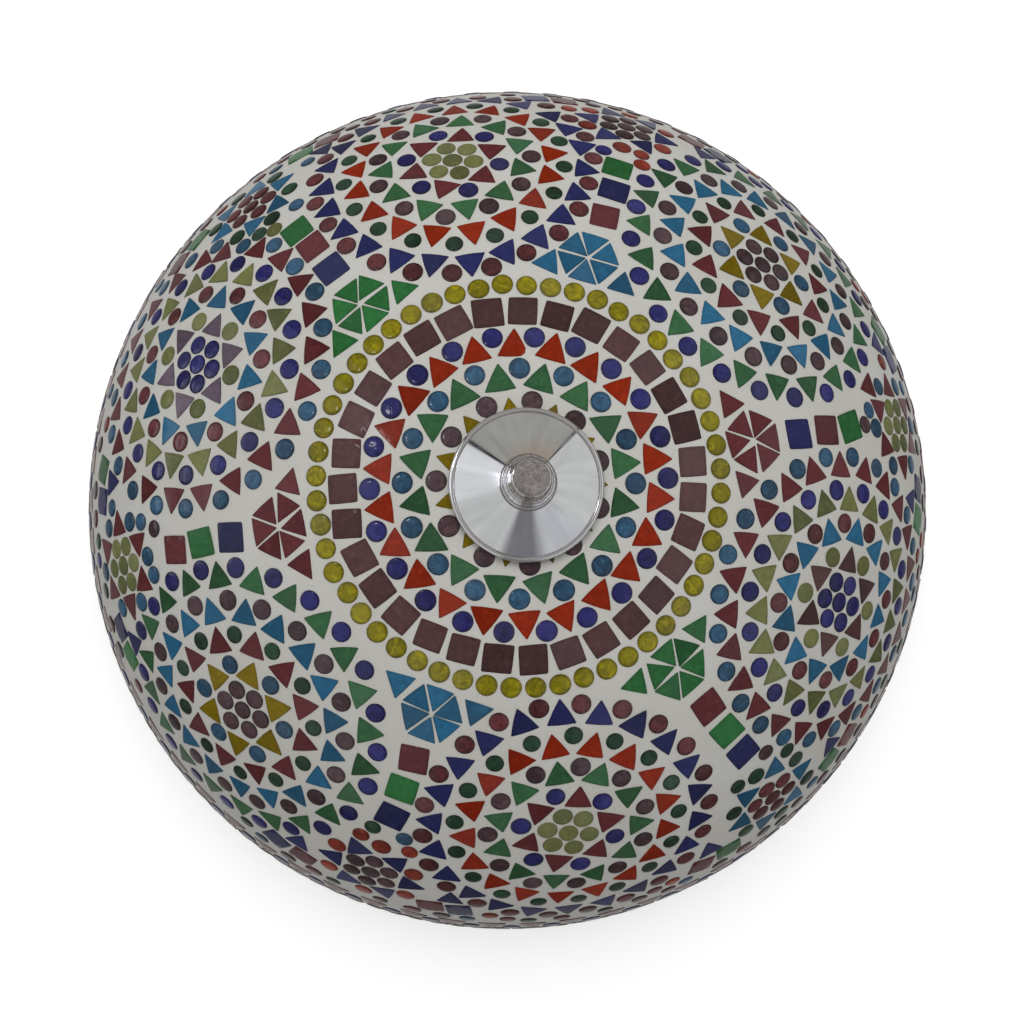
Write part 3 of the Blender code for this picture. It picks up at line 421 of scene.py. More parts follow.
def about(axis, angle):
    return Matrix.Rotation(angle, 4, axis)


def middle_of(node):
    low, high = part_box(node)
    return (low + high) / 2


def over(node, z=0.0):
    """Moves to the middle of a CAD node, seen from above, and to the height z."""
    return shift(*middle_of(node).xy, z)


# ---------------------------------------------------------------- the bowl's surface

def meridian(samples=4000):
    """The outer face from the hole to the rim, as arrays of length along it, radius, height and direction."""
    start = math.asin((HOLE_RADIUS / BOWL_RADIUS) ** (BOWL_POWER / 2))
    angle = np.linspace(0.0, math.pi / 2, samples)
    across = np.sin(angle) ** (2 / BOWL_POWER)
    up = np.clip(np.cos(angle), 0, 1) ** (2 / BOWL_POWER)
    down = np.linspace(0.0, SKIRT / TUCK_DEPTH, samples // 10)[1:]
    radius = np.concatenate([across, (1 - down**BOWL_POWER) ** (1 / BOWL_POWER)]) * BOWL_RADIUS
    height = WIDEST_Z + np.concatenate([up * BOWL_RISE, -down * TUCK_DEPTH])
    length = np.concatenate([[0.0], np.cumsum(np.hypot(np.diff(radius), np.diff(height)))])
    slope_r, slope_z = np.gradient(radius, length), np.gradient(height, length)
    size = np.hypot(slope_r, slope_z)
    hole = np.interp(start, angle, length[:samples])
    return length, radius, height, slope_r / size, slope_z / size, angle, hole


LENGTH, RADIUS, HEIGHT, SLOPE_R, SLOPE_Z, ANGLE, HOLE_S = meridian()
RIM_S = LENGTH[-1]


def surface(s, azimuth):
    """Point, outward direction along the meridian, direction round the bowl, and normal, as (n, 3) arrays."""
    radius, height = np.interp(s, LENGTH, RADIUS), np.interp(s, LENGTH, HEIGHT)
    slope_r, slope_z = np.interp(s, LENGTH, SLOPE_R), np.interp(s, LENGTH, SLOPE_Z)
    cos, sin = np.cos(azimuth), np.sin(azimuth)
    zero = np.zeros_like(cos)
    point = np.stack([radius * cos, radius * sin, height], -1)
    along = np.stack([slope_r * cos, slope_r * sin, slope_z], -1)
    around = np.stack([-sin, cos, zero], -1)
    normal = np.stack([-slope_z * cos, -slope_z * sin, slope_r], -1)
    return point, along, around, normal


def on_surface(point):
    """(s, azimuth) of a point that lies on the bowl above its widest ring."""
    radius = math.hypot(point.x, point.y)
    across = (radius / BOWL_RADIUS) ** (BOWL_POWER / 2)
    up = (max(0.0, point.z - WIDEST_Z) / BOWL_RISE) ** (BOWL_POWER / 2)
    return float(np.interp(math.atan2(across, up), ANGLE, LENGTH[: len(ANGLE)])), math.atan2(point.y, point.x)


def outside(point):
    """Above 0 where the point is outside the bowl's superellipse."""
    across = math.hypot(point.x, point.y) / BOWL_RADIUS
    return across**BOWL_POWER + (max(0.0, point.z - WIDEST_Z) / BOWL_RISE) ** BOWL_POWER - 1.0


def dropped(point, normal, reach=0.08, halvings=34):
    """Where a line from a point outside the bowl, against the normal, meets the bowl."""
    near, far = 0.0, reach
    for _ in range(halvings):
        middle = (near + far) / 2
        if outside(point - normal * middle) > 0:
            near = middle
        else:
            far = middle
    return point - normal * near


# ---------------------------------------------------------------- shapes of the chips

def bulged(corners, bulges, cut, steps=(0.0, 0.3, 0.5, 0.7, 1.0)):
    """An outline whose sides bow out by their bulges, with the tip of each corner cut back."""
    outline = []
    for start, end, bulge in zip(corners, corners[1:] + corners[:1], bulges):
        side = Vector(end) - Vector(start)
        out = Vector((side.y, -side.x)).normalized()
        for step in steps:
            share = cut + (1 - 2 * cut) * step
            outline.append(Vector(start) + side * share + out * (bulge * 4 * share * (1 - share)))
    return np.array([tuple(point) for point in outline])


def triangle(width, height, bulge=0.35, cut=0.03, base_bulge=None):
    """Points along +x, its centroid at the origin."""
    corners = [(height * 2 / 3, 0.0), (-height / 3, width / 2), (-height / 3, -width / 2)]
    base = bulge if base_bulge is None else base_bulge
    return bulged(corners, (bulge, base, bulge), cut) * MM


def square(side, cut=0.035):
    half = side / 2
    return bulged([(half, -half), (half, half), (-half, half), (-half, -half)], (0.15,) * 4, cut) * MM


def disc(diameter, points=20):
    angle = np.linspace(0, math.tau, points, endpoint=False)
    return np.stack([np.cos(angle), np.sin(angle)], -1) * diameter / 2 * MM


SHAPES = {
    "tri": triangle(13.2, 11.6),
    "small_tri": triangle(12.3, 11.0),
    "fan": triangle(12.2, 10.7, 0.1, 0.03, 0.25),
    "tip": triangle(9.8, 9.8, 0.3),
    "square": square(11.9),
    "tile": square(12.4),
    "dot": disc(8.8),
    "small_dot": disc(8.5),
    "bead": disc(7.6),
}
ROUND_SHAPES = ("dot", "small_dot", "bead")


# ---------------------------------------------------------------- laying the mosaic

chips = []  # each one: shape, colour, s, azimuth, heading, hold

DRIFT = (-2.6 * MM, 1.1 * MM)  # the mosaic was laid that far off the finial's axis, less towards the rim


def lay(shape, colour, s, azimuth, heading=0.0, hold=1.0):
    """Adds a chip. Heading 0 points away from the finial, and `hold` is how firmly it keeps its place."""
    fade = 1.0 - (s / RIM_S) ** 2
    x = s * math.cos(azimuth) + DRIFT[0] * fade
    y = s * math.sin(azimuth) + DRIFT[1] * fade
    turned_to = math.atan2(y, x)
    chips.append([shape, colour, math.hypot(x, y), turned_to, heading + azimuth - turned_to, hold])


# Rings about the finial: shape, colour, s in mm, count, phase in degrees
MEDALLION = (
    ("dot", "brown_dot", 33.0, 11, 15.4),
    ("tip", "amber", 28.6, 11, 15.4 + 180 / 11),
    ("tri", "green", 41.8, 16, 11.0),
    ("dot", "teal", 46.6, 16, 0.0),
    ("tri", "red", 55.4, 22, 10.5),
    ("dot", "navy_dot", 60.2, 22, 2.3),
    ("square", "brown", 71.1, 31, 7.5),
    ("dot", "yellow", 82.8, 52, 4.7),
)
# The border below the rosettes repeats them.
BORDER = (
    ("tri", "maroon", 234.0, 66, 0.0),
    ("dot", "navy_dot", 238.8, 66, 180 / 66),
    ("square", "brown", 249.8, 90, 0.0),
    ("dot", "yellow", 261.4, 126, 0.0),
    ("tri", "green", 271.0, 68, 0.0),
    ("dot", "teal", 275.8, 68, 180 / 68),
)


def lay_rings(rings):
    for shape, colour, s, count, phase in rings:
        for step in range(count):
            lay(shape, colour, s * MM, math.radians(phase) + math.tau * step / count, hold=3.0)


# A rosette's colours from its middle outwards: middle dots, then triangle and dot for each ring.
GARDEN = ("olive", "maroon", "navy_dot", "green", "brown_dot", "red", "deep_green", "navy", "maroon_dot")
SUNNY = ("brown_dot", "amber", "teal", "maroon", "deep_green", "cyan", "brown_dot", "green", "navy_dot")
DUSK = ("navy_dot", "lilac", "olive", "cyan", "maroon_dot", "olive", "navy_dot", "maroon", "teal")
LATE = ("navy_dot", "brown") + DUSK[2:]

# azimuth, s, colours, phase of the six middle dots, triangles in rings 2 to 4, phase of the last ring
ROSETTES = (
    (100.9, 152.8, GARDEN, -10, (11, 17, 23), 2),
    (42.7, 151.9, SUNNY, -5, (11, 17, 21), 4),
    (-19.0, 153.0, LATE, -5, (12, 18, 23), 9),
    (-81.4, 153.0, GARDEN, -10, (11, 17, 22), 3),
    (-141.2, 156.1, SUNNY, -1, (11, 17, 21), 10),
    (158.5, 153.7, DUSK, 0, (11, 17, 21), 12),
)
RING_TRIANGLES = (29.5, 42.0, 56.0)
RING_DOTS = (33.2, 47.0, 60.5)
INNER_PHASE = -2.0
STRETCH, STRETCH_AT = 2.0, 60  # mm added on the side away from the finial, at that many mm from the middle


class Patch:
    """A round patch of the bowl, laid out flat about its centre and then pressed onto the surface."""

    def __init__(self, azimuth, s):
        directions = surface(np.array([s * MM]), np.array([math.radians(azimuth)]))
        self.centre, self.along, self.around, self.normal = (Vector(rows[0]) for rows in directions)

    def lay(self, shape, colour, reach, degrees, turn=0.0):
        """A chip `reach` mm from the centre. 0 degrees is towards the finial, and it points outwards."""
        angle = math.radians(degrees)
        direction = self.around * math.sin(angle) - self.along * math.cos(angle)
        reach = reach + STRETCH * (1 - math.cos(angle)) / 2 * reach / STRETCH_AT
        point = dropped(self.centre + direction * (reach * MM), self.normal)
        s, azimuth = on_surface(point)
        _, along, around, _ = surface(np.array([s]), np.array([azimuth]))
        heading = math.atan2(direction.dot(Vector(around[0])), direction.dot(Vector(along[0])))
        lay(shape, colour, s, azimuth, heading + turn, 2.0)

    def ring(self, shape, colour, reach, count, phase):
        for step in range(count):
            self.lay(shape, colour, reach, phase + 360 * step / count)

    def flower(self, middle, petal, between, phase=0):
        self.lay("small_dot", middle, 0.01, 0)
        self.ring("small_dot", middle, 9.0, 6, phase)
        self.ring("small_tri", petal, 17.2, 6, phase + 30)
        self.ring("small_dot", between, 20.2, 6, phase)


def lay_rosettes():
    for azimuth, s, colours, phase, counts, last_phase in ROSETTES:
        patch = Patch(azimuth, s)
        patch.flower(*colours[:3], phase)
        phases = (INNER_PHASE, INNER_PHASE, last_phase)
        for ring, (count, start) in enumerate(zip(counts, phases)):
            triangles, dots = colours[3 + 2 * ring], colours[4 + 2 * ring]
            dot = "bead" if dots == "deep_green" else "small_dot"
            patch.ring("small_tri", triangles, RING_TRIANGLES[ring], count, start)
            patch.ring(dot, dots, RING_DOTS[ring], count, start + 180 / count)


# The six spaces between rosettes: azimuth, fan colour, squares outwards, the small flower's azimuth, s and
# colours, and the odd chips below the squares (shape, colour, s, mm round from the space's middle).
SPACES = (
    (131.0, "leaf", ("navy", "maroon", "leaf"), 132.5, 193.0, ("maroon_dot", "cyan", "deep_green"), (
        ("bead", "olive", 166, 7), ("bead", "teal", 169, -10), ("bead", "deep_green", 175, 10))),
    (73.0, "cyan", ("maroon", "navy", "leaf"), 73.1, 193.0, ("brown_dot", "navy", "red_dot"), (
        ("bead", "red_dot", 163, -9), ("bead", "navy_dot", 165, 8), ("small_tri", "navy", 173, 1),
        ("bead", "red_dot", 174, -12))),
    (11.0, "maroon", ("navy", "maroon", "leaf"), 10.6, 193.0, ("olive", "maroon", "teal"), (
        ("bead", "teal", 134, -10), ("bead", "teal", 151, -10), ("bead", "brown_dot", 165, 0),
        ("bead", "teal", 173, 5), ("small_tri", "maroon", 178, 14))),
    (-49.0, "leaf", ("maroon", "leaf", "navy"), -49.4, 193.0, ("maroon_dot", "cyan", "deep_green"), (
        ("bead", "teal", 134, 10), ("bead", "brown_dot", 164, 7), ("bead", "deep_green", 174, -12),
        ("bead", "deep_green", 174, 11), ("small_tri", "cyan", 177, 2))),
    (-110.9, "cyan", ("maroon", "leaf", "navy"), -110.9, 196.0, ("brown_dot", "navy", "red_dot"), (
        ("bead", "deep_green", 164, -6), ("bead", "teal", 164, 12), ("small_tri", "navy", 174, 2),
        ("bead", "red_dot", 174, -9), ("bead", "red_dot", 174, 12))),
    (-170.0, "maroon", ("navy", "leaf", "maroon"), -169.7, 193.0, ("olive", "maroon", "teal"), (
        ("bead", "brown_dot", 166, -11), ("bead", "teal", 175, 7), ("bead", "teal", 176, -13))),
)
FAN_S, FAN_REACH = 100.5, 7.9
WING_REACH, WING_ANGLE = 18.0, 66
SQUARE_ROW = (123.5, 139.0, 154.5)
SIDE_SQUARES = ("leaf", "maroon", "navy")
# Chips on both sides of a space's flower: shape, colour, s, mm round from the middle, lean outwards, turn.
BESIDE = (
    ("square", None, 211.0, 31.0, 0.15, 0.0),
    ("square", None, 212.0, 43.5, 0.3, 0.0),
    ("small_tri", "navy", 200.5, 37.0, 0.0, math.pi),
    ("small_dot", "maroon_dot", 223.0, 24.0, 0.0, 0.0),
    ("small_dot", "brown_dot", 224.0, 37.0, 0.0, 0.0),
)


def lay_beside(shape, colour, s, azimuth, sideways, heading):
    """A loose chip s mm down the meridian at `azimuth` degrees and `sideways` mm round from it."""
    radius = float(np.interp(s * MM, LENGTH, RADIUS))
    lay(shape, colour, s * MM, math.radians(azimuth) + sideways * MM / radius, heading, 0.5)


def lay_spaces():
    for order, (azimuth, fan, squares, flower_azimuth, flower_s, flower, odd_chips) in enumerate(SPACES):
        centre = Patch(azimuth, FAN_S)
        for step in range(6):
            centre.lay("fan", fan, FAN_REACH, 60 * step, math.pi)
        for side in (-1, 1):
            centre.lay("fan", fan, WING_REACH, side * WING_ANGLE)
        for s, colour in zip(SQUARE_ROW, squares):
            lay("tile", colour, s * MM, math.radians(azimuth), DICE.uniform(-0.12, 0.12), 2.0)
        Patch(flower_azimuth, flower_s).flower(*flower)
        for shape, colour, s, sideways in odd_chips:
            lay_beside(shape, colour, s, azimuth, sideways, math.pi)
        for side in (-1, 1):
            for place, (shape, colour, s, sideways, lean, turn) in enumerate(BESIDE):
                colour = colour or SIDE_SQUARES[(order + place) % 3]
                lay_beside(shape, colour, s, azimuth, side * sideways, side * lean + turn)


# ---------------------------------------------------------------- settling and making the chips

HEAD_JITTER = 0.07
PLACE_JITTER = 0.25 * MM
SETTLE_ROUNDS = 26
REACH = 17 * MM  # chips further apart than this never touch
CROWDED = -0.1 * MM


def half_planes(outline):
    """Unit normals and offsets of an outline's sides, in its own plane."""
    side = np.roll(outline, -1, axis=0) - outline
    normal = np.stack([side[:, 1], -side[:, 0]], -1)
    normal /= np.linalg.norm(normal, axis=1)[:, None]
    return normal, (normal * outline).sum(1)


def padded(rows, size):
    return np.array([np.concatenate([row, np.repeat(row[-1:], size - len(row), axis=0)]) for row in rows])


def chip_sides():
    """Each chip's corners and its sides' half-planes, padded to the same number of sides."""
    outlines = [SHAPES[chip[0]] for chip in chips]
    normals, offsets = zip(*(half_planes(outline) for outline in outlines))
    size = max(len(outline) for outline in outlines)
    return [padded(rows, size) for rows in (outlines, normals, offsets)]


def chip_numbers():
    """s, azimuth, heading and hold of every chip."""
    return [np.array(column) for column in list(zip(*chips))[2:]]


def chip_frames(s, azimuth, heading):
    """Centres, directions along and round the bowl, and the chips' own directions ahead and aside."""
    centre, along, around, _ = surface(s, azimuth)
    cos, sin = np.cos(heading)[:, None], np.sin(heading)[:, None]
    return centre, along, around, along * cos + around * sin, around * cos - along * sin


def settle():
    """Pushes chips that crowd each other apart, and returns the pairs' last clearance by chip."""
    points, normals, offsets = chip_sides()
    s, azimuth, heading, hold = chip_numbers()
    free = 1.0 / hold
    centre = surface(s, azimuth)[0]
    apart = np.linalg.norm(centre[:, None] - centre[None], axis=2)
    one, two = np.nonzero((apart < REACH) & (apart > 0))
    rows = np.arange(len(one))
    share = free[two] / (free[one] + free[two])
    for _ in range(SETTLE_ROUNDS):
        centre, along, around, ahead, aside = chip_frames(s, azimuth, heading)
        world = centre[:, None] + points[:, :, :1] * ahead[:, None] + points[:, :, 1:] * aside[:, None]
        seen = world[two] - centre[one][:, None]
        x = (seen * ahead[one][:, None]).sum(2)
        y = (seen * aside[one][:, None]).sum(2)
        clear = x[:, :, None] * normals[one][:, None, :, 0] + y[:, :, None] * normals[one][:, None, :, 1]
        clear -= offsets[one][:, None]
        side = clear.argmax(2)
        best = np.take_along_axis(clear, side[:, :, None], 2)[:, :, 0]
        corner = best.argmin(1)
        clearance = best[rows, corner]
        push = normals[one, side[rows, corner]]
        short = np.clip(CHIP_GAP - clearance, 0, None)
        way = push[:, :1] * ahead[one] + push[:, 1:] * aside[one]
        move = np.zeros_like(centre)
        np.add.at(move, two, way * (short * share * 0.5)[:, None])
        np.add.at(move, one, -way * (short * (1 - share) * 0.5)[:, None])
        s = s + (move * along).sum(1)
        azimuth = azimuth + (move * around).sum(1) / np.interp(s, LENGTH, RADIUS)
    for chip, new_s, new_azimuth in zip(chips, s, azimuth):
        chip[2], chip[3] = float(new_s), float(new_azimuth)
    worst = np.full(len(chips), 1.0)
    np.minimum.at(worst, two, clearance)
    return worst


FILL_FROM, FILL_TO, FILL_STEP = 196.0, 227.0, 2.5
FILL_ROOM = 1.3 * MM
FILL_COLOURS = ("teal", "red_dot", "brown_dot", "deep_green", "navy_dot", "maroon_dot")


def fill_gaps():
    """Beads in whatever bare grout is left low on the bowl, each where it clears every chip."""
    bead = SHAPES["bead"].max()
    _, normals, offsets = chip_sides()
    centre, _, _, ahead, aside = chip_frames(*chip_numbers()[:3])
    added = []
    for s in np.arange(FILL_FROM, FILL_TO, FILL_STEP) * MM:
        count = int(math.tau * np.interp(s, LENGTH, RADIUS) / (FILL_STEP * MM))
        places = surface(np.full(count, s), np.arange(count) * math.tau / count)[0]
        for step, place in enumerate(places):
            near = np.linalg.norm(centre - place, axis=1) < REACH
            seen = place - centre[near]
            x, y = (seen * ahead[near]).sum(1)[:, None], (seen * aside[near]).sum(1)[:, None]
            clear = (x * normals[near][:, :, 0] + y * normals[near][:, :, 1] - offsets[near]).max(1)
            apart = min((np.linalg.norm(place - other) for other in added), default=1.0)
            if clear.min(initial=1.0) > bead + FILL_ROOM and apart > 2 * bead + FILL_ROOM:
                added.append(place)
                lay("bead", DICE.choice(FILL_COLOURS), s, math.tau * step / count)
                chips[-1][2:4] = [float(s), math.tau * step / count]


DOME = 0.55 * MM


def chip_rings(shape):
    """(share of the outline, height) rings from a chip's buried foot up to its face, and its top's height."""
    if shape in ROUND_SHAPES:
        crown = [polar(1.0, tilt) for tilt in (12, 30, 50, 70)]
        foot = [(0.98, -CHIP_DEPTH), (1.0, -CHIP_DEPTH * 0.4), (1.0, 0.0)]
        return foot + [(across**0.55, DOME * up) for across, up in crown], DOME
    return [(0.98, -CHIP_DEPTH), (1.0, -0.20 * MM), (0.955, 0.0), (0.6, 0.03 * MM)], 0.04 * MM


def hand_cut(outline, is_round):
    """The outline as one chip has it: a little larger or smaller, and a flat one also a little skewed."""
    grow = DICE.uniform(0.965, 1.02)
    stretch, skew = (0.02, 0.0) if is_round else (0.035, 0.05)
    x = outline[:, 0] * grow * DICE.uniform(1 - stretch, 1 + stretch)
    y = outline[:, 1] * grow * DICE.uniform(1 - stretch, 1 + stretch)
    return np.stack([x, y + outline[:, 0] * DICE.uniform(-skew, skew)], -1)


TILT = 0.011
UNEVEN = 0.06


def make_chips():
    """One mesh for each colour, holding all its chips."""
    centre, along, around, normal = surface(*chip_numbers()[:2])
    grown = {}
    for index, (shape, colour, _, _, heading, _) in enumerate(chips):
        points, faces, edges = grown.setdefault(colour, ([], [], []))
        is_round = shape in ROUND_SHAPES
        tilt = Vector((DICE.gauss(0, TILT), DICE.gauss(0, TILT), 0.0))
        up = Vector(normal[index])
        ahead = Vector(along[index]) * math.cos(heading) + Vector(around[index]) * math.sin(heading)
        ahead = (ahead + up * tilt.x).normalized()
        aside = (up.cross(ahead) + up * tilt.y).normalized()
        up = ahead.cross(aside)
        sink = (DOT_SINK if is_round else FLAT_SINK) + DICE.uniform(0, UNEVEN) * MM
        base = Vector(centre[index]) - up * sink
        outline = hand_cut(SHAPES[shape], is_round)
        rings, top = chip_rings(shape)
        first, size = len(points), len(outline)
        faces.append(tuple(range(first + size - 1, first - 1, -1)))
        for number, (share, height) in enumerate(rings):
            ring = np.array(base) + outline[:, :1] * share * np.array(ahead)
            ring = ring + outline[:, 1:] * share * np.array(aside) + np.array(up) * height
            points.extend(map(tuple, ring))
            edges.extend([share] * size)
            if number:
                faces += band(len(points) - 2 * size, len(points) - size, size)
        faces += [(one, two, len(points)) for one, two, _, _ in band(len(points) - size, 0, size)]
        points.append(tuple(base + up * top))
        edges.append(0.0)
    for colour, (points, faces, edges) in sorted(grown.items()):
        specular, rim, clouding = DOMED if colour in ALWAYS_ROUND else FLAT
        variety = EVEN_VARIETY if colour in EVEN_COLOURS else VARIETY
        tint = glass_tint(*GLASS_COLOURS[colour])
        material = chip_glass("glass_" + colour, tint, specular, rim, variety, clouding)
        mesh = build_mesh(points, faces)
        mesh.attributes.new("edge", "FLOAT", "POINT").data.foreach_set("value", edges)
        add_piece("mosaic_chips_" + colour, mesh, material, "bowl", "mosaic_layer", 30.0)


def lay_mosaic():
    lay_rings(MEDALLION)
    lay_rosettes()
    lay_spaces()
    lay_rings(BORDER)
    for chip in chips:
        chip[2] += DICE.gauss(0, PLACE_JITTER)
        chip[4] += DICE.gauss(0, HEAD_JITTER)
    clearance = settle()
    crowded = [index for index, room in enumerate(clearance) if room < CROWDED and chips[index][5] < 1]
    for index in reversed(crowded):
        del chips[index]
    fill_gaps()
    make_chips()


GROUT_SIDES, GROUT_ROWS, BACK_ROWS = 560, 150, 24
GROUT_ROUGHNESS = 0.07 * MM


def make_grout():
    """The bed of grout: a shell whose outer face is hand-wiped and slightly uneven."""
    points, faces = [], []
    azimuth = np.arange(GROUT_SIDES) * math.tau / GROUT_SIDES
    front = [(s, GROUT_SINK, GROUT_ROUGHNESS) for s in np.linspace(HOLE_S, RIM_S, GROUT_ROWS)]
    back = [(s, MOSAIC_THICKNESS, 0.0) for s in np.linspace(RIM_S, HOLE_S, BACK_ROWS)]
    for s, depth, rough in front + back:
        point, _, _, normal = surface(np.full(GROUT_SIDES, s), azimuth)
        place = point - normal * depth
        if rough:
            wave = [noise.noise(Vector(p) * 110) + 0.6 * noise.noise(Vector(p) * 260) for p in point]
            place = place + normal * (np.array(wave) * rough)[:, None]
        place[:, 2] = np.maximum(place[:, 2], RIM_Z)
        points.extend(map(tuple, place))
    count = len(front + back)
    for row in range(count):
        faces += band(row * GROUT_SIDES, (row + 1) % count * GROUT_SIDES, GROUT_SIDES)
    mesh = build_mesh(points, faces)
    add_piece("mosaic_grout", mesh, grout_material(), "bowl", "mosaic_layer", 50.0)


# ---------------------------------------------------------------- glass bowl, cap and knob

def sunk_section(depth, count=90):
    """(radius, z) points of the bowl's section from the hole to the rim, `depth` under the outer face."""
    section = []
    for s in np.linspace(HOLE_S, RIM_S, count):
        point, _, _, normal = surface(np.array([s]), np.array([0.0]))
        place = point[0] - normal[0] * depth
        section.append((max(HOLE_RADIUS, place[0]), max(RIM_Z, place[2])))
    return section


LIP_EDGE = 0.0006


def make_bowl_glass():
    outer = sunk_section(MOSAIC_THICKNESS + GAP)
    inner = sunk_section(MOSAIC_THICKNESS + GAP + GLASS_THICKNESS)
    lip = [(outer[-1][0] - LIP_EDGE, RIM_Z), (inner[-1][0] + LIP_EDGE, RIM_Z)]
    for face in (outer, inner):
        face[-1] = (face[-1][0], RIM_Z + LIP_EDGE)
    section = outer + lip + inner[::-1]
    add_turned("bowl_glass", section, pressed_glass_material(), "bowl", "glass_bowl", "glass", sides=256)


CAP_LOW, CAP_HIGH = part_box("finial_cap")
CAP_RADIUS, CAP_HEIGHT = CAP_HIGH.x, CAP_HIGH.z - CAP_LOW.z
CAP_BEAD = 0.0012
CAP_EDGE_RISE = 0.002
CAP_NECK_RADIUS, CAP_NECK_EDGE = 0.0108, 0.0004
CAP_SHEET = 0.0012
CAP_SLOPE = math.radians(31.0)
CAP_FILLET = 0.0016
CAP_SAG = 0.0003
ROD_HOLE = 0.0054


def cap_profile():
    """A spun cone with a short neck and a rolled bead, and a fine groove where the bead meets the side."""
    bead = CAP_RADIUS - CAP_BEAD
    edge = bead - CAP_BEAD * 0.9
    centre = CAP_NECK_RADIUS + CAP_FILLET
    cone_top = CAP_EDGE_RISE + (edge - centre + CAP_FILLET * math.sin(CAP_SLOPE)) * math.tan(CAP_SLOPE)
    fillet_z = cone_top + CAP_FILLET * math.cos(CAP_SLOPE)
    fillet = arc(centre, fillet_z, CAP_FILLET, 180, 270 - math.degrees(CAP_SLOPE), 10)
    cone = straight(fillet[-1], (edge, CAP_EDGE_RISE), 16)
    cone = [(radius, z - CAP_SAG * 4 * step / 16 * (1 - step / 16)) for step, (radius, z) in enumerate(cone)]
    side = fillet[:-1] + cone
    neck = arc(CAP_NECK_RADIUS - CAP_NECK_EDGE, CAP_HEIGHT - CAP_NECK_EDGE, CAP_NECK_EDGE, 90, 0, 4)
    dips = ((0.84, 0.0003), (0.74, 0.0002))
    groove = [(bead - CAP_BEAD * share, CAP_EDGE_RISE - dip) for share, dip in dips]
    roll = arc(bead, CAP_BEAD, CAP_BEAD, 130, -90, 18)
    under = [(radius - CAP_SHEET * 0.6, rise - CAP_SHEET) for radius, rise in side]
    inside = [(under[-1][0] - CAP_SHEET * 0.3, 0.0)] + under[::-1]
    shelf = CAP_HEIGHT - CAP_SHEET
    return [(ROD_HOLE, CAP_HEIGHT), *neck, *side, *groove, *roll, *inside,
            (CAP_NECK_RADIUS - CAP_SHEET, shelf), (ROD_HOLE, shelf)]


KNOB_LOW, KNOB_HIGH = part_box("finial_knob")
KNOB_HEIGHT = KNOB_HIGH.z - KNOB_LOW.z
KNOB_BORE_DEPTH = 0.0155
KNOB_FLANGE, KNOB_RING_LOW, KNOB_RING_HIGH = KNOB_HIGH.x, 0.0086, 0.0092
KNOB_WAIST, KNOB_HEAD, KNOB_EDGE = 0.0073, 0.00775, 0.0008


def knob_profile():
    """A nearly flat head, waist, two rings and a flange, all with rounded edges, and the blind bore."""
    shares = [step / 12 for step in range(13)]
    crown = [((KNOB_HEAD - KNOB_EDGE) * share, KNOB_HEIGHT - 0.00022 * share**3) for share in shares]
    shoulder = arc(KNOB_HEAD - KNOB_EDGE, KNOB_HEIGHT - 0.00102, KNOB_EDGE, 84, 0, 7)
    head = [(KNOB_HEAD, 0.0101), (KNOB_HEAD - 0.00015, 0.0097)]
    waist = arc(KNOB_WAIST + 0.0007, 0.00855, 0.0007, 120, 240, 7)
    upper = arc(KNOB_RING_HIGH - 0.0008, 0.0063, 0.0008, 88, -80, 8)
    nip = arc(KNOB_RING_LOW - 0.0001, 0.0052, 0.0003, 110, 250, 4)
    lower = arc(KNOB_RING_LOW - 0.0004, 0.0044, 0.0005, 85, -60, 6)
    flange = arc(KNOB_FLANGE - 0.0009, 0.0025, 0.0009, 88, 0, 6)
    foot = arc(KNOB_FLANGE - 0.0006, 0.0006, 0.0006, 0, -90, 5)
    bore = [(ROD_HOLE, 0.0), (ROD_HOLE, KNOB_BORE_DEPTH), (0.0, KNOB_BORE_DEPTH)]
    return crown + shoulder + head + waist + upper + nip + lower + flange + foot + bore


def add_ring(name, material, body, node, slot, inner=ROD_HOLE, sides=96, edge=0.0002):
    """A flat ring with rounded edges, in the place of a CAD ring that lies flat."""
    low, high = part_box(node)
    centre = (low + high) / 2
    section = rounded(inner, (high.x - low.x) / 2, low.z - centre.z, high.z - centre.z, edge)
    add_turned(name, section, material, body, node, slot, sides=sides, place=Matrix.Translation(centre))


def make_finial(chrome, turned_chrome, fibre, rubber):
    add_turned("cap_spinning", cap_profile(), chrome, "bowl", "finial_cap", "chrome",
               sides=224, place=shift(z=CAP_LOW.z))
    add_turned("knob_turning", knob_profile(), turned_chrome, "knob", "finial_knob", "chrome",
               sides=128, closed=False, place=shift(z=KNOB_LOW.z))
    add_ring("knob_pad", fibre, "knob_slide", "knob_washer", "fibre")
    low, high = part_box("cap_gasket")
    inner, edge = high.x - 0.0037, 0.0004
    section = [(inner, low.z + 0.0002), (inner, high.z), *arc(high.x - edge, high.z - edge, edge, 90, 0, 4)]
    add_turned("cap_seal", section + [(high.x, low.z)], rubber, "bowl", "cap_gasket", "rubber", sides=128)


# ---------------------------------------------------------------- fittings under the bowl

def carve(mesh, cutters, operation="DIFFERENCE"):
    """The mesh after an exact Boolean with each of the other meshes, which are used up."""
    target = add_object("target", mesh)
    helpers = [add_object("cutter", cutter) for cutter in cutters]
    for helper in helpers:
        step = target.modifiers.new("carve", "BOOLEAN")
        step.operation = operation
        step.solver = "EXACT"
        step.object = helper
    graph = bpy.context.evaluated_depsgraph_get()
    carved = bpy.data.meshes.new_from_object(target.evaluated_get(graph), depsgraph=graph)
    for obj in [target, *helpers]:
        bpy.data.objects.remove(obj)
    return carved


def soften(obj, width, angle):
    """Rounds a piece's sharp edges."""
    bevel = obj.modifiers.new("edges", "BEVEL")
    bevel.width = width
    bevel.segments = 2
    bevel.limit_method = "ANGLE"
    bevel.angle_limit = math.radians(angle)
    bevel.harden_normals = False


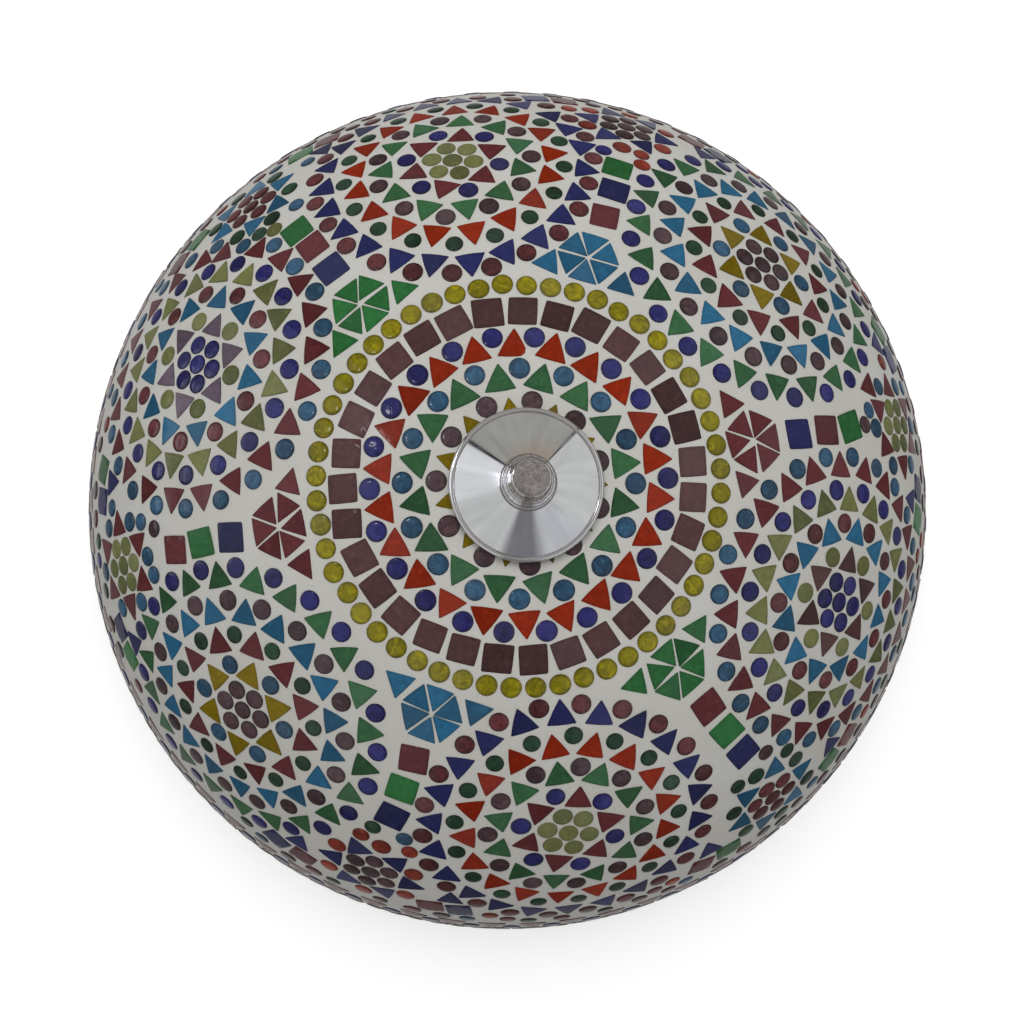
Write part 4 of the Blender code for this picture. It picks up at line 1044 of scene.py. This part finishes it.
def rod_mesh(radius, low, high, place=None, sides=48):
    return turned_mesh([(0.0, high), (radius, high), (radius, low), (0.0, low)], sides, False, None, place)


def block_mesh(low, high, place=None):
    (x0, y0, z0), (x1, y1, z1) = low, high
    points = [(x0, y0, z0), (x1, y0, z0), (x1, y1, z0), (x0, y1, z0)]
    points += [(x, y, z1) for x, y, _ in points]
    return build_mesh(points, [(3, 2, 1, 0), (4, 5, 6, 7), *band(0, 4, 4)], place)


def prism_mesh(outline, low, high, place=None):
    """A prism along z from (x, y) points that run anticlockwise."""
    size = len(outline)
    points = [(x, y, z) for z in (low, high) for x, y in outline]
    faces = [tuple(range(size))[::-1], tuple(range(size, 2 * size)), *band(0, size, size)]
    return build_mesh(points, faces, place)


def slot_outline(length, width, steps=8):
    """A rectangle with half-round ends, centred on the origin, long in x."""
    reach = (length - width) / 2
    return arc(reach, 0.0, width / 2, -90, 90, steps) + arc(-reach, 0.0, width / 2, 90, 270, steps)


def hexagon_rows(across_flats, low, high, bore):
    """Rows of a chamfered nut, each a function of the angle that gives (radius, z)."""
    inscribed = across_flats / 2
    face, edge = inscribed * 0.97, 0.0004

    def reach(angle):
        return inscribed / math.cos((angle + math.pi / 6) % (math.pi / 3) - math.pi / 6)

    def drop(angle):
        return (reach(angle) - face) * 0.55

    return [
        lambda angle: (bore, low + edge),
        lambda angle: (bore + edge, low),
        lambda angle: (face, low),
        lambda angle: (reach(angle), low + drop(angle)),
        lambda angle: (reach(angle), high - drop(angle)),
        lambda angle: (face, high),
        lambda angle: (bore + edge, high),
        lambda angle: (bore, high - edge),
    ]


def polar_mesh(rows, closed, sides, place=None):
    """Joins rows of (radius, z), given as functions of the angle. An open stack ends in flat faces."""
    angles = [math.tau * side / sides for side in range(sides)]
    points = []
    for row in rows:
        for angle in angles:
            radius, z = row(angle)
            points.append((radius * math.cos(angle), radius * math.sin(angle), z))
    starts = [index * sides for index in range(len(rows))]
    faces = []
    for low, high in zip(starts, starts[1:] + starts[:1] if closed else starts[1:]):
        faces += band(low, high, sides)
    if not closed:
        faces += [tuple(range(sides - 1, -1, -1)), tuple(range(starts[-1], starts[-1] + sides))]
    return build_mesh(points, faces, place)


def screw_mesh(shank, length, head, head_height, drive, pitch, place):
    """A screw whose head is above z = 0, with a threaded shank, and a cross or a single slot."""
    low, root, neck = -length, shank * 0.9, -0.0004
    tip = [(0.0, low), (shank * 0.6, low + shank * 0.2), (root, low + root)]
    body = straight((root, low + shank), (root, neck), max(6, int(length / pitch * 6)))
    under = [(shank, -0.0002), (head - 0.0002, 0.0), (head, 0.0002)]
    dome = [(head * across**0.8, head_height * (0.35 + 0.65 * up))
            for across, up in (polar(1.0, tilt) for tilt in (5, 22, 40, 58, 74))]
    profile = tip + body + under + dome + [(0.0, head_height)]
    mesh = turned_mesh(profile, 32, False, (pitch, shank * 0.1, low + shank, neck))
    half, reach = head * 0.26 / 2, head * (1.3 if drive == "slot" else 0.56)
    floor, above = head_height - head_height * 0.55, head_height + 0.001
    bars = [block_mesh((-reach, -half, floor), (reach, half, above))]
    if drive == "cross":
        bars = [carve(bars[0], [block_mesh((-half, -reach, floor), (half, reach, above))], "UNION")]
    carved = carve(mesh, bars)
    carved.transform(place)
    return carved


PAN_SHEET = 0.0012
PAN_PLATE_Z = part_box("mounting_pan")[1].z
PAN_PLATE_RADIUS, PAN_FOOT_RADIUS = 0.149, 0.164
PAN_FLANGE_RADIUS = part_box("mounting_pan")[1].x
BEAD_RADIUS, BEAD_HALF, BEAD_RISE = 0.1415, 0.0028, 0.0007
M4_HOLE, M3_HOLE, CABLE_HOLE = 0.0024, 0.0020, 0.0073
PAN_HOLES = {
    "cable_grommet": CABLE_HOLE, "earth_screw": M4_HOLE, "block_screw": M3_HOLE, "stud_a": M4_HOLE,
    "stud_b": M4_HOLE, "bracket_screw_a1": M3_HOLE, "bracket_screw_a2": M3_HOLE,
    "bracket_screw_b1": M3_HOLE, "bracket_screw_b2": M3_HOLE,
}


def pan_profile():
    """The pressed sheet: a plate with a raised bead, a sloping wall between two bends, and the flange."""
    top = [(BEAD_RADIUS + BEAD_HALF * share, PAN_PLATE_Z + BEAD_RISE * math.cos(share * math.pi / 2) ** 2)
           for share in np.linspace(-1, 1, 9)]
    slope = math.degrees(math.atan2(PAN_PLATE_Z - PAN_SHEET, PAN_FOOT_RADIUS - PAN_PLATE_RADIUS))
    shoulder = arc(PAN_PLATE_RADIUS - 0.0020, PAN_PLATE_Z - 0.0030, 0.0030, 90, 90 - slope)
    toe = arc(PAN_FOOT_RADIUS + 0.0012, PAN_SHEET + 0.0016, 0.0016, 270 - slope, 270)
    edge = arc(PAN_FLANGE_RADIUS - 0.0005, PAN_SHEET - 0.0005, 0.0005, 90, 0, 4)
    foot = [(PAN_FLANGE_RADIUS, 0.0003), (PAN_FLANGE_RADIUS - 0.0003, 0.0)]
    lower = [(radius - PAN_SHEET * 0.45, max(0.0, z - PAN_SHEET)) for radius, z in shoulder + toe][::-1]
    lower += [(radius, z - PAN_SHEET) for radius, z in top[::-1]]
    return [(ROD_HOLE, PAN_PLATE_Z), *top, *shoulder, *toe, *edge, *foot, *lower,
            (ROD_HOLE, PAN_PLATE_Z - PAN_SHEET)]


def make_pan(steel, rubber, grommet):
    cutters = [rod_mesh(radius, PAN_PLATE_Z - 0.004, PAN_PLATE_Z + 0.003, over(node))
               for node, radius in PAN_HOLES.items()]
    pan = carve(turned_mesh(pan_profile(), 256), cutters)
    add_piece("pan_pressing", pan, steel, "pan", "mounting_pan", 40.0)
    low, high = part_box("rim_gasket")
    section = rounded(high.x - 0.0072, high.x, low.z, high.z, 0.0009, 5)
    add_turned("rim_seal", section, rubber, "pan", "rim_gasket", "rubber", sides=256)
    low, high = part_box("cable_grommet")
    half, lip, roll = (high.z - low.z) / 2, 0.0018, 0.0009
    outer, neck, bore, edge = (high.x - low.x) / 2, 0.0070, 0.0042, 0.0006
    section = [
        *arc(outer - roll, half - roll, roll, 90, -90), (neck, half - lip), (neck, lip - half),
        *arc(outer - roll, roll - half, roll, 90, -90),
        *arc(bore + edge, edge - half, edge, 270, 180, 4), *arc(bore + edge, half - edge, edge, 180, 90, 4)]
    add_turned("cable_bush", section, grommet, "pan", "cable_grommet", "grommet",
               sides=64, place=Matrix.Translation(middle_of("cable_grommet")))


ROD_BORE, ROD_PITCH = 0.0035, 0.001
ROD_NUT_ACROSS = 0.014
THREAD_RUN_OUT, THREAD_SHARP = 0.0006, 60.0
TURN_STEPS = 6  # rows of points for each turn of a thread


def make_rod(zinc, rubber):
    low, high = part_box("threaded_rod")
    root, edge = high.x - 0.00026, 0.0003
    section = straight((root, low.z), (root, high.z), int((high.z - low.z) / ROD_PITCH * TURN_STEPS))
    section += [(ROD_BORE + edge, high.z), (ROD_BORE, high.z - edge)]
    section += [(ROD_BORE, low.z + edge), (ROD_BORE + edge, low.z)]
    thread = (ROD_PITCH, 0.00025, low.z + THREAD_RUN_OUT, high.z - THREAD_RUN_OUT)
    add_turned("rod_thread", section[::-1], zinc, "pan", "threaded_rod", "zinc", THREAD_SHARP,
               sides=36, thread=thread)
    add_ring("rod_plain_washer", zinc, "pan", "rod_washer", "zinc")
    for node in ("rod_nut_front", "rod_nut_rear"):
        low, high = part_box(node)
        mesh = polar_mesh(hexagon_rows(ROD_NUT_ACROSS, low.z, high.z, ROD_HOLE), True, 96)
        add_piece(node + "_cut", mesh, zinc, "pan", node)
    low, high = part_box("bowl_bush")
    flange, roll, tube = high.x, 0.0007, HOLE_RADIUS - GAP
    flange_top = low.z + 0.002
    section = [
        *arc(flange - roll, flange_top - roll, roll, 90, 0, 4),
        *arc(flange - roll, low.z + roll, roll, 0, -90, 4),
        (ROD_HOLE + 0.0004, low.z), (ROD_HOLE, low.z + 0.0004), (ROD_HOLE, high.z - 0.0004),
        (ROD_HOLE + 0.0004, high.z), (tube - 0.0005, high.z), (tube, high.z - 0.0005), (tube, flange_top)]
    add_turned("bush_moulding", section, rubber, "bowl", "bowl_bush", "rubber")


CROSSBAR_SLOT_X, CROSSBAR_SLOT = 0.036, (0.016, 0.005)
CROSSBAR_HOLE = 0.007
STUD_PITCH = 0.0007


def make_crossbar(zinc):
    low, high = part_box("crossbar")
    through = (low.z - 0.001, high.z + 0.001)
    cutters = [rod_mesh(CROSSBAR_HOLE, *through)]
    for side in (-1, 1):
        cutters.append(prism_mesh(slot_outline(*CROSSBAR_SLOT), *through, shift(side * CROSSBAR_SLOT_X)))
        cutters.append(rod_mesh(M4_HOLE, *through, shift(middle_of("stud_b").x * side)))
    bar = carve(prism_mesh(slot_outline(high.x * 2, high.y * 2, 14), low.z, high.z), cutters)
    soften(add_piece("crossbar_strip", bar, zinc, "pan", "crossbar"), 0.00025, 40.0)
    for unit in "ab":
        low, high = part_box("stud_" + unit)
        radius, end = (high.x - low.x) / 2, 0.0004
        root, steps = radius - 0.00016, int((high.z - low.z) / STUD_PITCH * TURN_STEPS)
        side = straight((root, high.z - 0.0003), (root, low.z + 0.0003), steps)
        profile = [(0.0, high.z), (radius - end, high.z), *side, (radius - end, low.z), (0.0, low.z)]
        thread = (STUD_PITCH, 0.00015, low.z + THREAD_RUN_OUT, high.z - THREAD_RUN_OUT)
        place = over("stud_" + unit)
        add_turned("stud_thread_" + unit, profile, zinc, "pan", "stud_" + unit, "zinc", THREAD_SHARP,
                   sides=32, closed=False, thread=thread, place=place)
        make_cap_nut(unit, zinc, place)


def make_cap_nut(unit, zinc, place):
    """A hexagon with a domed crown and a blind bore."""
    low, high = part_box("cap_nut_" + unit)
    across, bore, shoulder = 0.007, 0.0028, low.z + 0.0035
    floor = (bore, high.z - 0.0013)
    dome = [(across * 0.42 * reach, shoulder + (high.z - shoulder) * up)
            for reach, up in (polar(1.0, tilt) for tilt in (0, 15, 30, 45, 60, 75, 87))]
    rows = [lambda angle: floor] + hexagon_rows(across, low.z, shoulder, bore)[:6]
    rows += [(lambda angle, point=point: point) for point in dome]
    mesh = polar_mesh(rows, False, 72, place)
    add_piece("cap_nut_cut_" + unit, mesh, zinc, "pan", "cap_nut_" + unit)


UNIT_TURNS = (("a", 0.0), ("b", math.pi))
EDISON_PITCH, EDISON_DEPTH = 0.00363, 0.0004


def unit_frame(turn):
    """Carries a piece turned about z onto a holder's axis, with z = 0 at the holder's back."""
    _, y, z = middle_of("holder_body_a")
    return about("Z", turn) @ shift(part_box("holder_body_a")[0].x, y, z) @ about("Y", math.pi / 2)


def make_holder(unit, turn, porcelain, brass, zinc):
    place = unit_frame(turn)
    low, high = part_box("holder_body_a")
    radius, length, cavity, floor, depth = (high.z - low.z) / 2, high.x - low.x, 0.0152, 0.012, 0.0007
    groove = [(radius, 0.0140), (radius - depth, 0.0146), (radius - depth, 0.0160), (radius, 0.0166)]
    body = turned_mesh([
        (0.0, 0.0), *arc(radius - 0.0026, 0.0022, 0.0022, -90, -10), *groove,
        *arc(radius - 0.0012, length - 0.0012, 0.0012, 0, 90),
        *arc(cavity + 0.0010, length - 0.0010, 0.0010, 90, 180, 5), (cavity, floor), (0.0, floor),
    ], closed=False)
    cutters = []
    for side in (-1, 1):
        drill = shift(-side * 0.006, 0.0, 0.006) @ about("X", -math.pi / 2)
        cutters.append(rod_mesh(0.0022, 0.0135, 0.024, drill, 32))
    cutters.append(rod_mesh(M4_HOLE, -0.001, 0.0065, None, 32))
    body = carve(body, cutters)
    body.transform(place)
    add_piece("holder_porcelain_" + unit, body, porcelain, "pan", "holder_body_" + unit)
    start, end, mean = 0.018, 0.046, 0.01410
    wall = straight((mean + 0.0002, start), (mean + 0.0002, end), 76)
    inner = straight((mean - 0.0003, end), (mean - 0.0003, start), 76)
    thread = (EDISON_PITCH, EDISON_DEPTH, start, end)
    add_turned("holder_thread_" + unit, wall + inner, brass, "pan", "holder_shell_" + unit, "brass",
               THREAD_SHARP, sides=72, thread=thread, place=place)
    tongue = [(0.0, 0.0123), (0.0048, 0.0123), (0.0048, 0.0131), (0.0022, 0.0135), (0.0020, 0.0196),
              (0.0030, 0.0208), *arc(0.0014, 0.0211, 0.0012, 10, 90, 5), (0.0, 0.0223)]
    add_turned("holder_spring_" + unit, tongue, brass, "pan", "holder_contact_" + unit, "brass",
               sides=48, closed=False, place=place)
    make_bracket(unit, turn, zinc)


def make_bracket(unit, turn, zinc):
    """A strip bent to an L, and drilled for its screws."""
    low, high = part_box("holder_bracket_a")
    sheet, bend = 0.0015, 0.0012
    corner = (low.x + sheet + bend, low.z + sheet + bend)
    outline = [
        (high.x, low.z), (high.x, low.z + sheet), *arc(*corner, bend, 270, 180), (low.x + sheet, high.z),
        (low.x, high.z), *arc(*corner, bend + sheet, 180, 270, 8)]
    half = (high.y - low.y) / 2
    lie = shift(y=middle_of("holder_bracket_a").y) @ about("X", math.pi / 2)
    cutters = [rod_mesh(M4_HOLE, -0.004, 0.002, unit_frame(0.0), 32)]
    for number in (1, 2):
        place = over(f"bracket_screw_a{number}")
        cutters.append(rod_mesh(M3_HOLE, low.z - 0.001, low.z + sheet + 0.001, place, 32))
    strip = carve(prism_mesh(outline, -half, half, lie), cutters)
    strip.transform(about("Z", turn))
    strip = add_piece("bracket_strip_" + unit, strip, zinc, "pan", "holder_bracket_" + unit)
    soften(strip, 0.0002, 50.0)


def bezier(p0, p1, p2, p3, steps):
    curve = []
    for step in range(1, steps + 1):
        t = step / steps
        weights = ((1 - t) ** 3, 3 * t * (1 - t) ** 2, 3 * t * t * (1 - t), t**3)
        curve.append(tuple(sum(w * p[axis] for w, p in zip(weights, (p0, p1, p2, p3))) for axis in (0, 1)))
    return curve


def make_bulb(unit, turn, aluminium, opal, vitrite):
    """Heights are from the holder's back."""
    body, place = "bulb_" + unit, unit_frame(turn)
    solder = [(0.0045 * across, 0.0250 - 0.0024 * up)
              for up, across in (polar(1.0, tilt) for tilt in (20, 40, 60, 78, 90))]
    add_turned("bulb_solder_" + unit, [(0.0, 0.0226), *solder, (0.0, 0.0250)], aluminium, body + "_slide",
               "bulb_tip_" + unit, "aluminium", sides=48, closed=False, place=place)
    cone = [(0.0, 0.0253), (0.0060, 0.0253), (0.0078, 0.0258), (0.0100, 0.0276), (0.0112, 0.0292),
            (0.0112, 0.0310), (0.0, 0.0310)]
    add_turned("bulb_insulator_" + unit, cone, vitrite, body, "bulb_cap_" + unit, "aluminium",
               sides=64, closed=False, place=place)
    mean, start, end = 0.01270, 0.0302, 0.0462
    wall = [(0.0115, 0.0288), (0.0121, 0.0292)] + straight((mean, start), (mean, end), 46)
    collar = [(0.0129, 0.0470), (0.0129, 0.0492), (0.0131, 0.0497), (0.0129, 0.0500), (0.0122, 0.0500)]
    inner = straight((mean - 0.0005, end), (mean - 0.0005, start), 46) + [(0.0116, 0.0294), (0.0113, 0.0290)]
    thread = (EDISON_PITCH, EDISON_DEPTH, start, end)
    add_turned("bulb_screw_cap_" + unit, wall + collar + inner, aluminium, body, "bulb_cap_" + unit,
               "aluminium", THREAD_SHARP, sides=72, thread=thread, place=place)
    add_turned("bulb_envelope_" + unit, envelope_profile(), opal, body, "bulb_glass_" + unit, "opal",
               closed=False, place=place)


def envelope_profile():
    """The bulb's glass: a straight neck that swells into a ball, with a thin wall."""
    neck, centre, ball, wall = 0.0115, 0.0975, 0.030, 0.0008
    join = math.radians(-38)
    meet = (ball * math.cos(join), centre + ball * math.sin(join))
    lead = (meet[0] + 0.013 * math.sin(join), meet[1] - 0.013 * math.cos(join))
    swelling = [(neck, 0.0310), (neck, 0.0505)] + bezier((neck, 0.0505), (neck, 0.0600), lead, meet, 14)
    crown = arc(0.0, centre, ball, -34, 86, 30)
    outer = swelling + crown + [(0.0, centre + ball)]
    inner = [(radius * (1 - wall / max(radius, wall * 2)), z) for radius, z in swelling]
    within = ball - wall
    inner += [(radius * within / ball, centre + (z - centre) * within / ball) for radius, z in crown]
    return outer[::-1] + inner + [(0.0, centre + ball - wall)]


# Kinds of screw: shank radius, length, head radius, head height, drive and pitch.
BRACKET_SCREW = (0.0016, 0.010, 0.0032, 0.0022, "cross", 0.0006)
HOLDER_SCREW = (0.0020, 0.0065, 0.0038, 0.0022, "cross", 0.0007)
BLOCK_SCREW = (0.0016, 0.020, 0.0025, 0.0016, "slot", 0.0006)
EARTH_SCREW = (0.0020, 0.009, 0.0038, 0.0022, "cross", 0.0007)
HOLDER_SCREW_TURN, EARTH_SCREW_TURN = 0.6, 0.4


def add_screw(node, kind, material, place):
    add_piece(node + "_cut", screw_mesh(*kind, place), material, "pan", node, 45.0)


def seat(node, kind, turn=0.0):
    """Where a screw of the pan stands: its head's top is the node's top."""
    return over(node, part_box(node)[1].z - kind[3]) @ about("Z", turn)


def make_screws(zinc, brass):
    for unit, turn in UNIT_TURNS:
        for number in (1, 2):
            node = f"bracket_screw_{unit}{number}"
            add_screw(node, BRACKET_SCREW, zinc, seat(node, BRACKET_SCREW, DICE.uniform(0, 3)))
        back = shift(z=-0.0021) @ about("X", math.pi) @ about("Z", HOLDER_SCREW_TURN)
        add_screw("holder_screw_" + unit, HOLDER_SCREW, zinc, unit_frame(turn) @ back)
    add_screw("block_screw", BLOCK_SCREW, zinc, seat("block_screw", BLOCK_SCREW))
    add_screw("earth_screw", EARTH_SCREW, brass, seat("earth_screw", EARTH_SCREW, EARTH_SCREW_TURN))
    add_ring("earth_ring", brass, "pan", "earth_tag", "brass", M4_HOLE, 64)


def make_terminal_block(plastic, zinc, brass):
    """Three towers on one base, each with a brass tube through it and a screw down its well."""
    low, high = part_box("terminal_block")
    base = block_mesh(tuple(low), (high.x, high.y, low.z + 0.0035))
    towers, cutters = [], []
    wire_z, tower, inset = low.z + 0.0065, 0.0043, 0.001
    across = about("X", math.pi / 2)
    for number in (1, 2, 3):
        x, y = middle_of(f"terminal_screw_{number}").xy
        foot, top = (x - tower, low.y + inset, low.z + inset), (x + tower, high.y - inset, high.z)
        towers.append(block_mesh(foot, top))
        cutters.append(rod_mesh(0.0024, -0.02, 0.02, shift(x, y, wire_z) @ across, 32))
        cutters.append(rod_mesh(0.0026, wire_z, high.z + 0.001, shift(x, y), 32))
    cutters.append(rod_mesh(M4_HOLE, low.z - 0.001, high.z + 0.001, over("block_screw"), 32))
    body = carve(carve(base, towers, "UNION"), cutters)
    soften(add_piece("terminal_moulding", body, plastic, "pan", "terminal_block"), 0.0003, 50.0)
    tube = [(0.0021, 0.0085), (0.0017, 0.0085), (0.0017, -0.0085), (0.0021, -0.0085)]
    for number in (1, 2, 3):
        node = f"terminal_screw_{number}"
        low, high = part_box(node)
        add_turned(f"terminal_tube_{number}", tube, brass, "pan", "terminal_block", "brass",
                   sides=32, place=over(node, wire_z) @ across)
        radius, edge, point = (high.x - low.x) / 2, 0.0003, 0.0005
        profile = [(0.0, high.z), (radius - edge, high.z), (radius, high.z - edge), (radius, low.z + point),
                   (radius - point, low.z), (0.0, low.z)]
        screw = turned_mesh(profile, 40, False, place=over(node))
        turn = over(node) @ about("Z", DICE.uniform(0, 3))
        slot = block_mesh((-0.004, -0.0004, high.z - 0.0010), (0.004, 0.0004, high.z + 0.001), turn)
        add_piece(node + "_cut", carve(screw, [slot]), zinc, "pan", node)


def dress_wires():
    """The CAD wires stay; they are only rounded off and given their insulation."""
    looks = {"live": (0.20, 0.085, 0.035), "neutral": (0.035, 0.13, 0.40), "earth": (0.12, 0.36, 0.08)}
    for kind, colour in looks.items():
        material = plastic_material("insulation_" + kind, colour, 0.38, 700.0, 0.015)
        for name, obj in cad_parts.items():
            if name.startswith("wire_" + kind):
                obj.data.materials.clear()
                obj.data.materials.append(material)
                obj.modifiers.new("weld", "WELD").merge_threshold = 1e-6
                smooth = obj.modifiers.new("round", "SUBSURF")
                smooth.levels = smooth.render_levels = 2
                obj.data.shade_smooth()


def make_fittings(rubber):
    zinc = metal_material("zinc", (0.60, 0.61, 0.60), 0.30, 170.0, (0.44, 0.45, 0.46))
    brass = metal_material("brass", (0.72, 0.53, 0.22), 0.26, 120.0, (0.48, 0.32, 0.13))
    bright = (0.74, 0.75, 0.76)
    aluminium = metal_material("aluminium", bright, 0.24, 150.0, darker(bright, 0.72))
    steel = plastic_material("white_steel", (0.78, 0.77, 0.74), 0.33, 1100.0, 0.012, Coat_Weight=0.25)
    porcelain = plastic_material("porcelain", (0.82, 0.80, 0.75), 0.16, 260.0, 0.02, Coat_Weight=0.5)
    grommet = plastic_material("grommet", (0.03, 0.03, 0.03), 0.6, 1500.0, 0.03)
    block = plastic_material("block_plastic", (0.80, 0.78, 0.70), 0.42, 1000.0, 0.02)
    vitrite = plastic_material("vitrite", (0.018, 0.018, 0.022), 0.15, 400.0, 0.02)
    opal = opal_material()
    make_pan(steel, rubber, grommet)
    make_rod(zinc, rubber)
    make_crossbar(zinc)
    for unit, turn in UNIT_TURNS:
        make_holder(unit, turn, porcelain, brass, zinc)
        make_bulb(unit, turn, aluminium, opal, vitrite)
    make_screws(zinc, brass)
    make_terminal_block(block, zinc, brass)
    dress_wires()


# ---------------------------------------------------------------- floor, light and camera

FLOOR_SIZE, FLOOR_Z = 12.0, -0.0002
FLOOR_GLOW = 0.62
CAMERA_PLACE = Vector((-0.0366, -0.0496, 0.8103))
CAMERA_RIGHT = Vector((0.99888, 0.0, 0.0473))
CAMERA_FORWARD = Vector((0.0477, 0.0609, -0.9970))
CAMERA_LENS = 57.55


def make_floor():
    """Pale to the camera and in steep reflections, dark in the others, as the photo's surroundings are."""
    half = FLOOR_SIZE / 2
    corners = [(-half, -half), (half, -half), (half, half), (-half, half)]
    mesh = build_mesh([(x, y, FLOOR_Z) for x, y in corners], [(0, 1, 2, 3)])
    pale, seen, dark, steep = (0.93,) * 3, (0.50,) * 3, (0.16, 0.15, 0.14), (0.66,) * 3
    finish = Finish("floor", pale, 0.7)
    path = finish.node("LightPath").outputs
    incoming = finish.node("NewGeometry").outputs["Incoming"]
    height = finish.node("SeparateXYZ", {0: incoming}).outputs["Z"]
    mirrored = finish.mix(finish.spread(height, 0.50, 0.85), dark, steep)
    plain = finish.mix(path["Is Glossy Ray"], pale, mirrored)
    finish.set("Base Color", finish.mix(path["Is Camera Ray"], plain, seen))
    finish.set("Emission Color", (1.0, 1.0, 1.0))
    finish.set("Emission Strength", finish.times(path["Is Camera Ray"], FLOOR_GLOW))
    mesh.materials.append(finish.material)
    add_object("floor", mesh)


def add_area(name, place, target, size, power, colour=(1, 1, 1)):
    light = bpy.data.lights.new(name, "AREA")
    light.shape = "DISK"
    light.size = size
    light.energy = power
    light.color = colour
    obj = add_object(name, light)
    obj.location = place
    obj.rotation_euler = (Vector(target) - Vector(place)).to_track_quat("-Z", "Y").to_euler()
    return obj


# The room that bright metal mirrors, as sectors of azimuth: from, to, colour
ROOM = (
    (47.0, 137.0, (0.36, 0.36, 0.335)),
    (137.0, 186.0, (0.82, 0.83, 0.86)),
    (186.0, 250.0, (0.60, 0.61, 0.61)),
    (250.0, 286.0, (0.20, 0.20, 0.22)),
    (286.0, 330.0, (0.56, 0.57, 0.60)),
    (330.0, 407.0, (0.62, 0.63, 0.62)),
)
ROOM_POSTS = (47.0, 137.0)
POST_WIDTH, POST_COLOUR = 2.8, (0.025, 0.025, 0.03)
SOFT_JOIN, HARD_JOIN = 6.0, 1.5
WINDOW = (2.3, 2.4, 2.6)
WINDOW_TURN, WINDOW_HEIGHT = (156.0, 159.0, 181.0, 184.0), (-0.08, -0.04, 0.36, 0.42)
LINTEL_COLOUR, LOW_COLOUR = (0.36, 0.26, 0.19), (0.22, 0.17, 0.14)
CEILING_COLOURS = (0.20, 0.18, 0.175), (0.44, 0.40, 0.39)
AMBIENT = 0.46
BACKDROP = 0.97


def room_walls(room, turn, height):
    """The sectors, with a curtain's unevenness, a lintel's shade and a darker foot."""
    colour = ROOM[-1][2]
    for start, end, tone in ROOM[:-1][::-1]:
        soft = HARD_JOIN if start in ROOM_POSTS and end in ROOM_POSTS else SOFT_JOIN
        inside = room.within(turn, start - soft, start + soft, end - soft, end + soft)
        colour = room.mix(inside, colour, tone)
    curtain = room.noise(4.0, 1.5, 0.5, 1.0)
    folds = room.noise(1.0, 2.0, 0.5, 0.0, room.joined(X=room.times(turn, 0.12), Y=room.times(height, 1.6)))
    shade = room.times(room.spread(curtain, 0.3, 0.7, 0.88, 1.08), room.spread(folds, 0.3, 0.7, 0.97, 1.03))
    colour = room.mix(1.0, colour, shade, "MULTIPLY")
    lintel = room.times(room.spread(height, 0.36, 0.28), room.spread(turn, 168, 130), 0.6)
    colour = room.mix(lintel, colour, LINTEL_COLOUR)
    return room.mix(room.times(room.spread(height, 0.24, 0.06), 0.8), colour, LOW_COLOUR)


def make_world():
    """Plain light from all round for diffuse rays, a plain backdrop, and a quiet room for mirrors."""
    world = bpy.data.worlds.new("studio")
    room = Nodes(world, "Generated")
    parts = room.node("SeparateXYZ", {0: room.place}).outputs
    height = parts["Z"]
    turn = room.times(room.maths("ARCTAN2", parts["Y"], parts["X"]), 180 / math.pi)
    turn = room.maths("ADD", turn, room.times(room.maths("LESS_THAN", turn, ROOM_POSTS[0]), 360.0))
    colour = room_walls(room, turn, height)
    slats = room.spread(room.maths("SINE", room.times(height, 36.0)), -0.5, 0.5, 0.12, 1.0)
    window = room.times(room.within(turn, *WINDOW_TURN), room.within(height, *WINDOW_HEIGHT), slats)
    colour = room.mix(window, colour, WINDOW)
    for post in ROOM_POSTS:
        aside = room.maths("ABSOLUTE", room.maths("SUBTRACT", turn, post))
        colour = room.mix(room.spread(aside, POST_WIDTH, POST_WIDTH * 0.4), colour, POST_COLOUR)
    patches = room.spread(room.noise(14.0, 4.0, 0.7, 2.0), 0.35, 0.65)
    colour = room.mix(room.spread(height, 0.86, 0.97), colour, room.mix(patches, *CEILING_COLOURS))
    path = room.node("LightPath").outputs
    colour = room.mix(path["Is Glossy Ray"], (AMBIENT,) * 3, colour)
    colour = room.mix(path["Is Camera Ray"], colour, (BACKDROP,) * 3)
    room.feed(room.nodes["Background"].inputs["Color"], colour)
    bpy.context.scene.world = world


def add_lights():
    """A broad soft light overhead, which isn't mirrored, and a small one that only gives a glint."""
    middle = (0.0, 0.0, 0.08)
    overhead = add_area("overhead", (-0.1, 0.80, 2.05), middle, 1.6, 27.5, (1.0, 0.998, 0.99))
    overhead.visible_glossy = False
    glint = add_area("glint", (-0.80, 0.42, 1.75), middle, 0.16, 1.1)
    glint.visible_diffuse = False


def make_camera():
    camera = bpy.data.cameras.new("camera")
    camera.lens = CAMERA_LENS
    camera.clip_start = 0.01
    back = -CAMERA_FORWARD.normalized()
    right = (CAMERA_RIGHT - back * CAMERA_RIGHT.dot(back)).normalized()
    obj = add_object("camera", camera)
    turn = Matrix((right, back.cross(right), back)).transposed().to_4x4()
    obj.matrix_world = Matrix.Translation(CAMERA_PLACE) @ turn
    bpy.context.scene.camera = obj


def build_scene():
    chrome = chrome_material("chrome", 2600.0, 0.006, 0.03)
    turned_chrome = chrome_material("turned_chrome", 1300.0, 0.05, 0.75)
    rubber = plastic_material("rubber", (0.045, 0.045, 0.045), 0.75, 1600.0, 0.04)
    fibre = plastic_material("fibre", (0.30, 0.10, 0.06), 0.8, 1800.0, 0.05)
    lay_mosaic()
    make_grout()
    make_bowl_glass()
    make_finial(chrome, turned_chrome, fibre, rubber)
    make_fittings(rubber)
    make_floor()
    make_world()
    add_lights()
    make_camera()
    bpy.context.scene.view_settings.view_transform = "Standard"


build_scene()
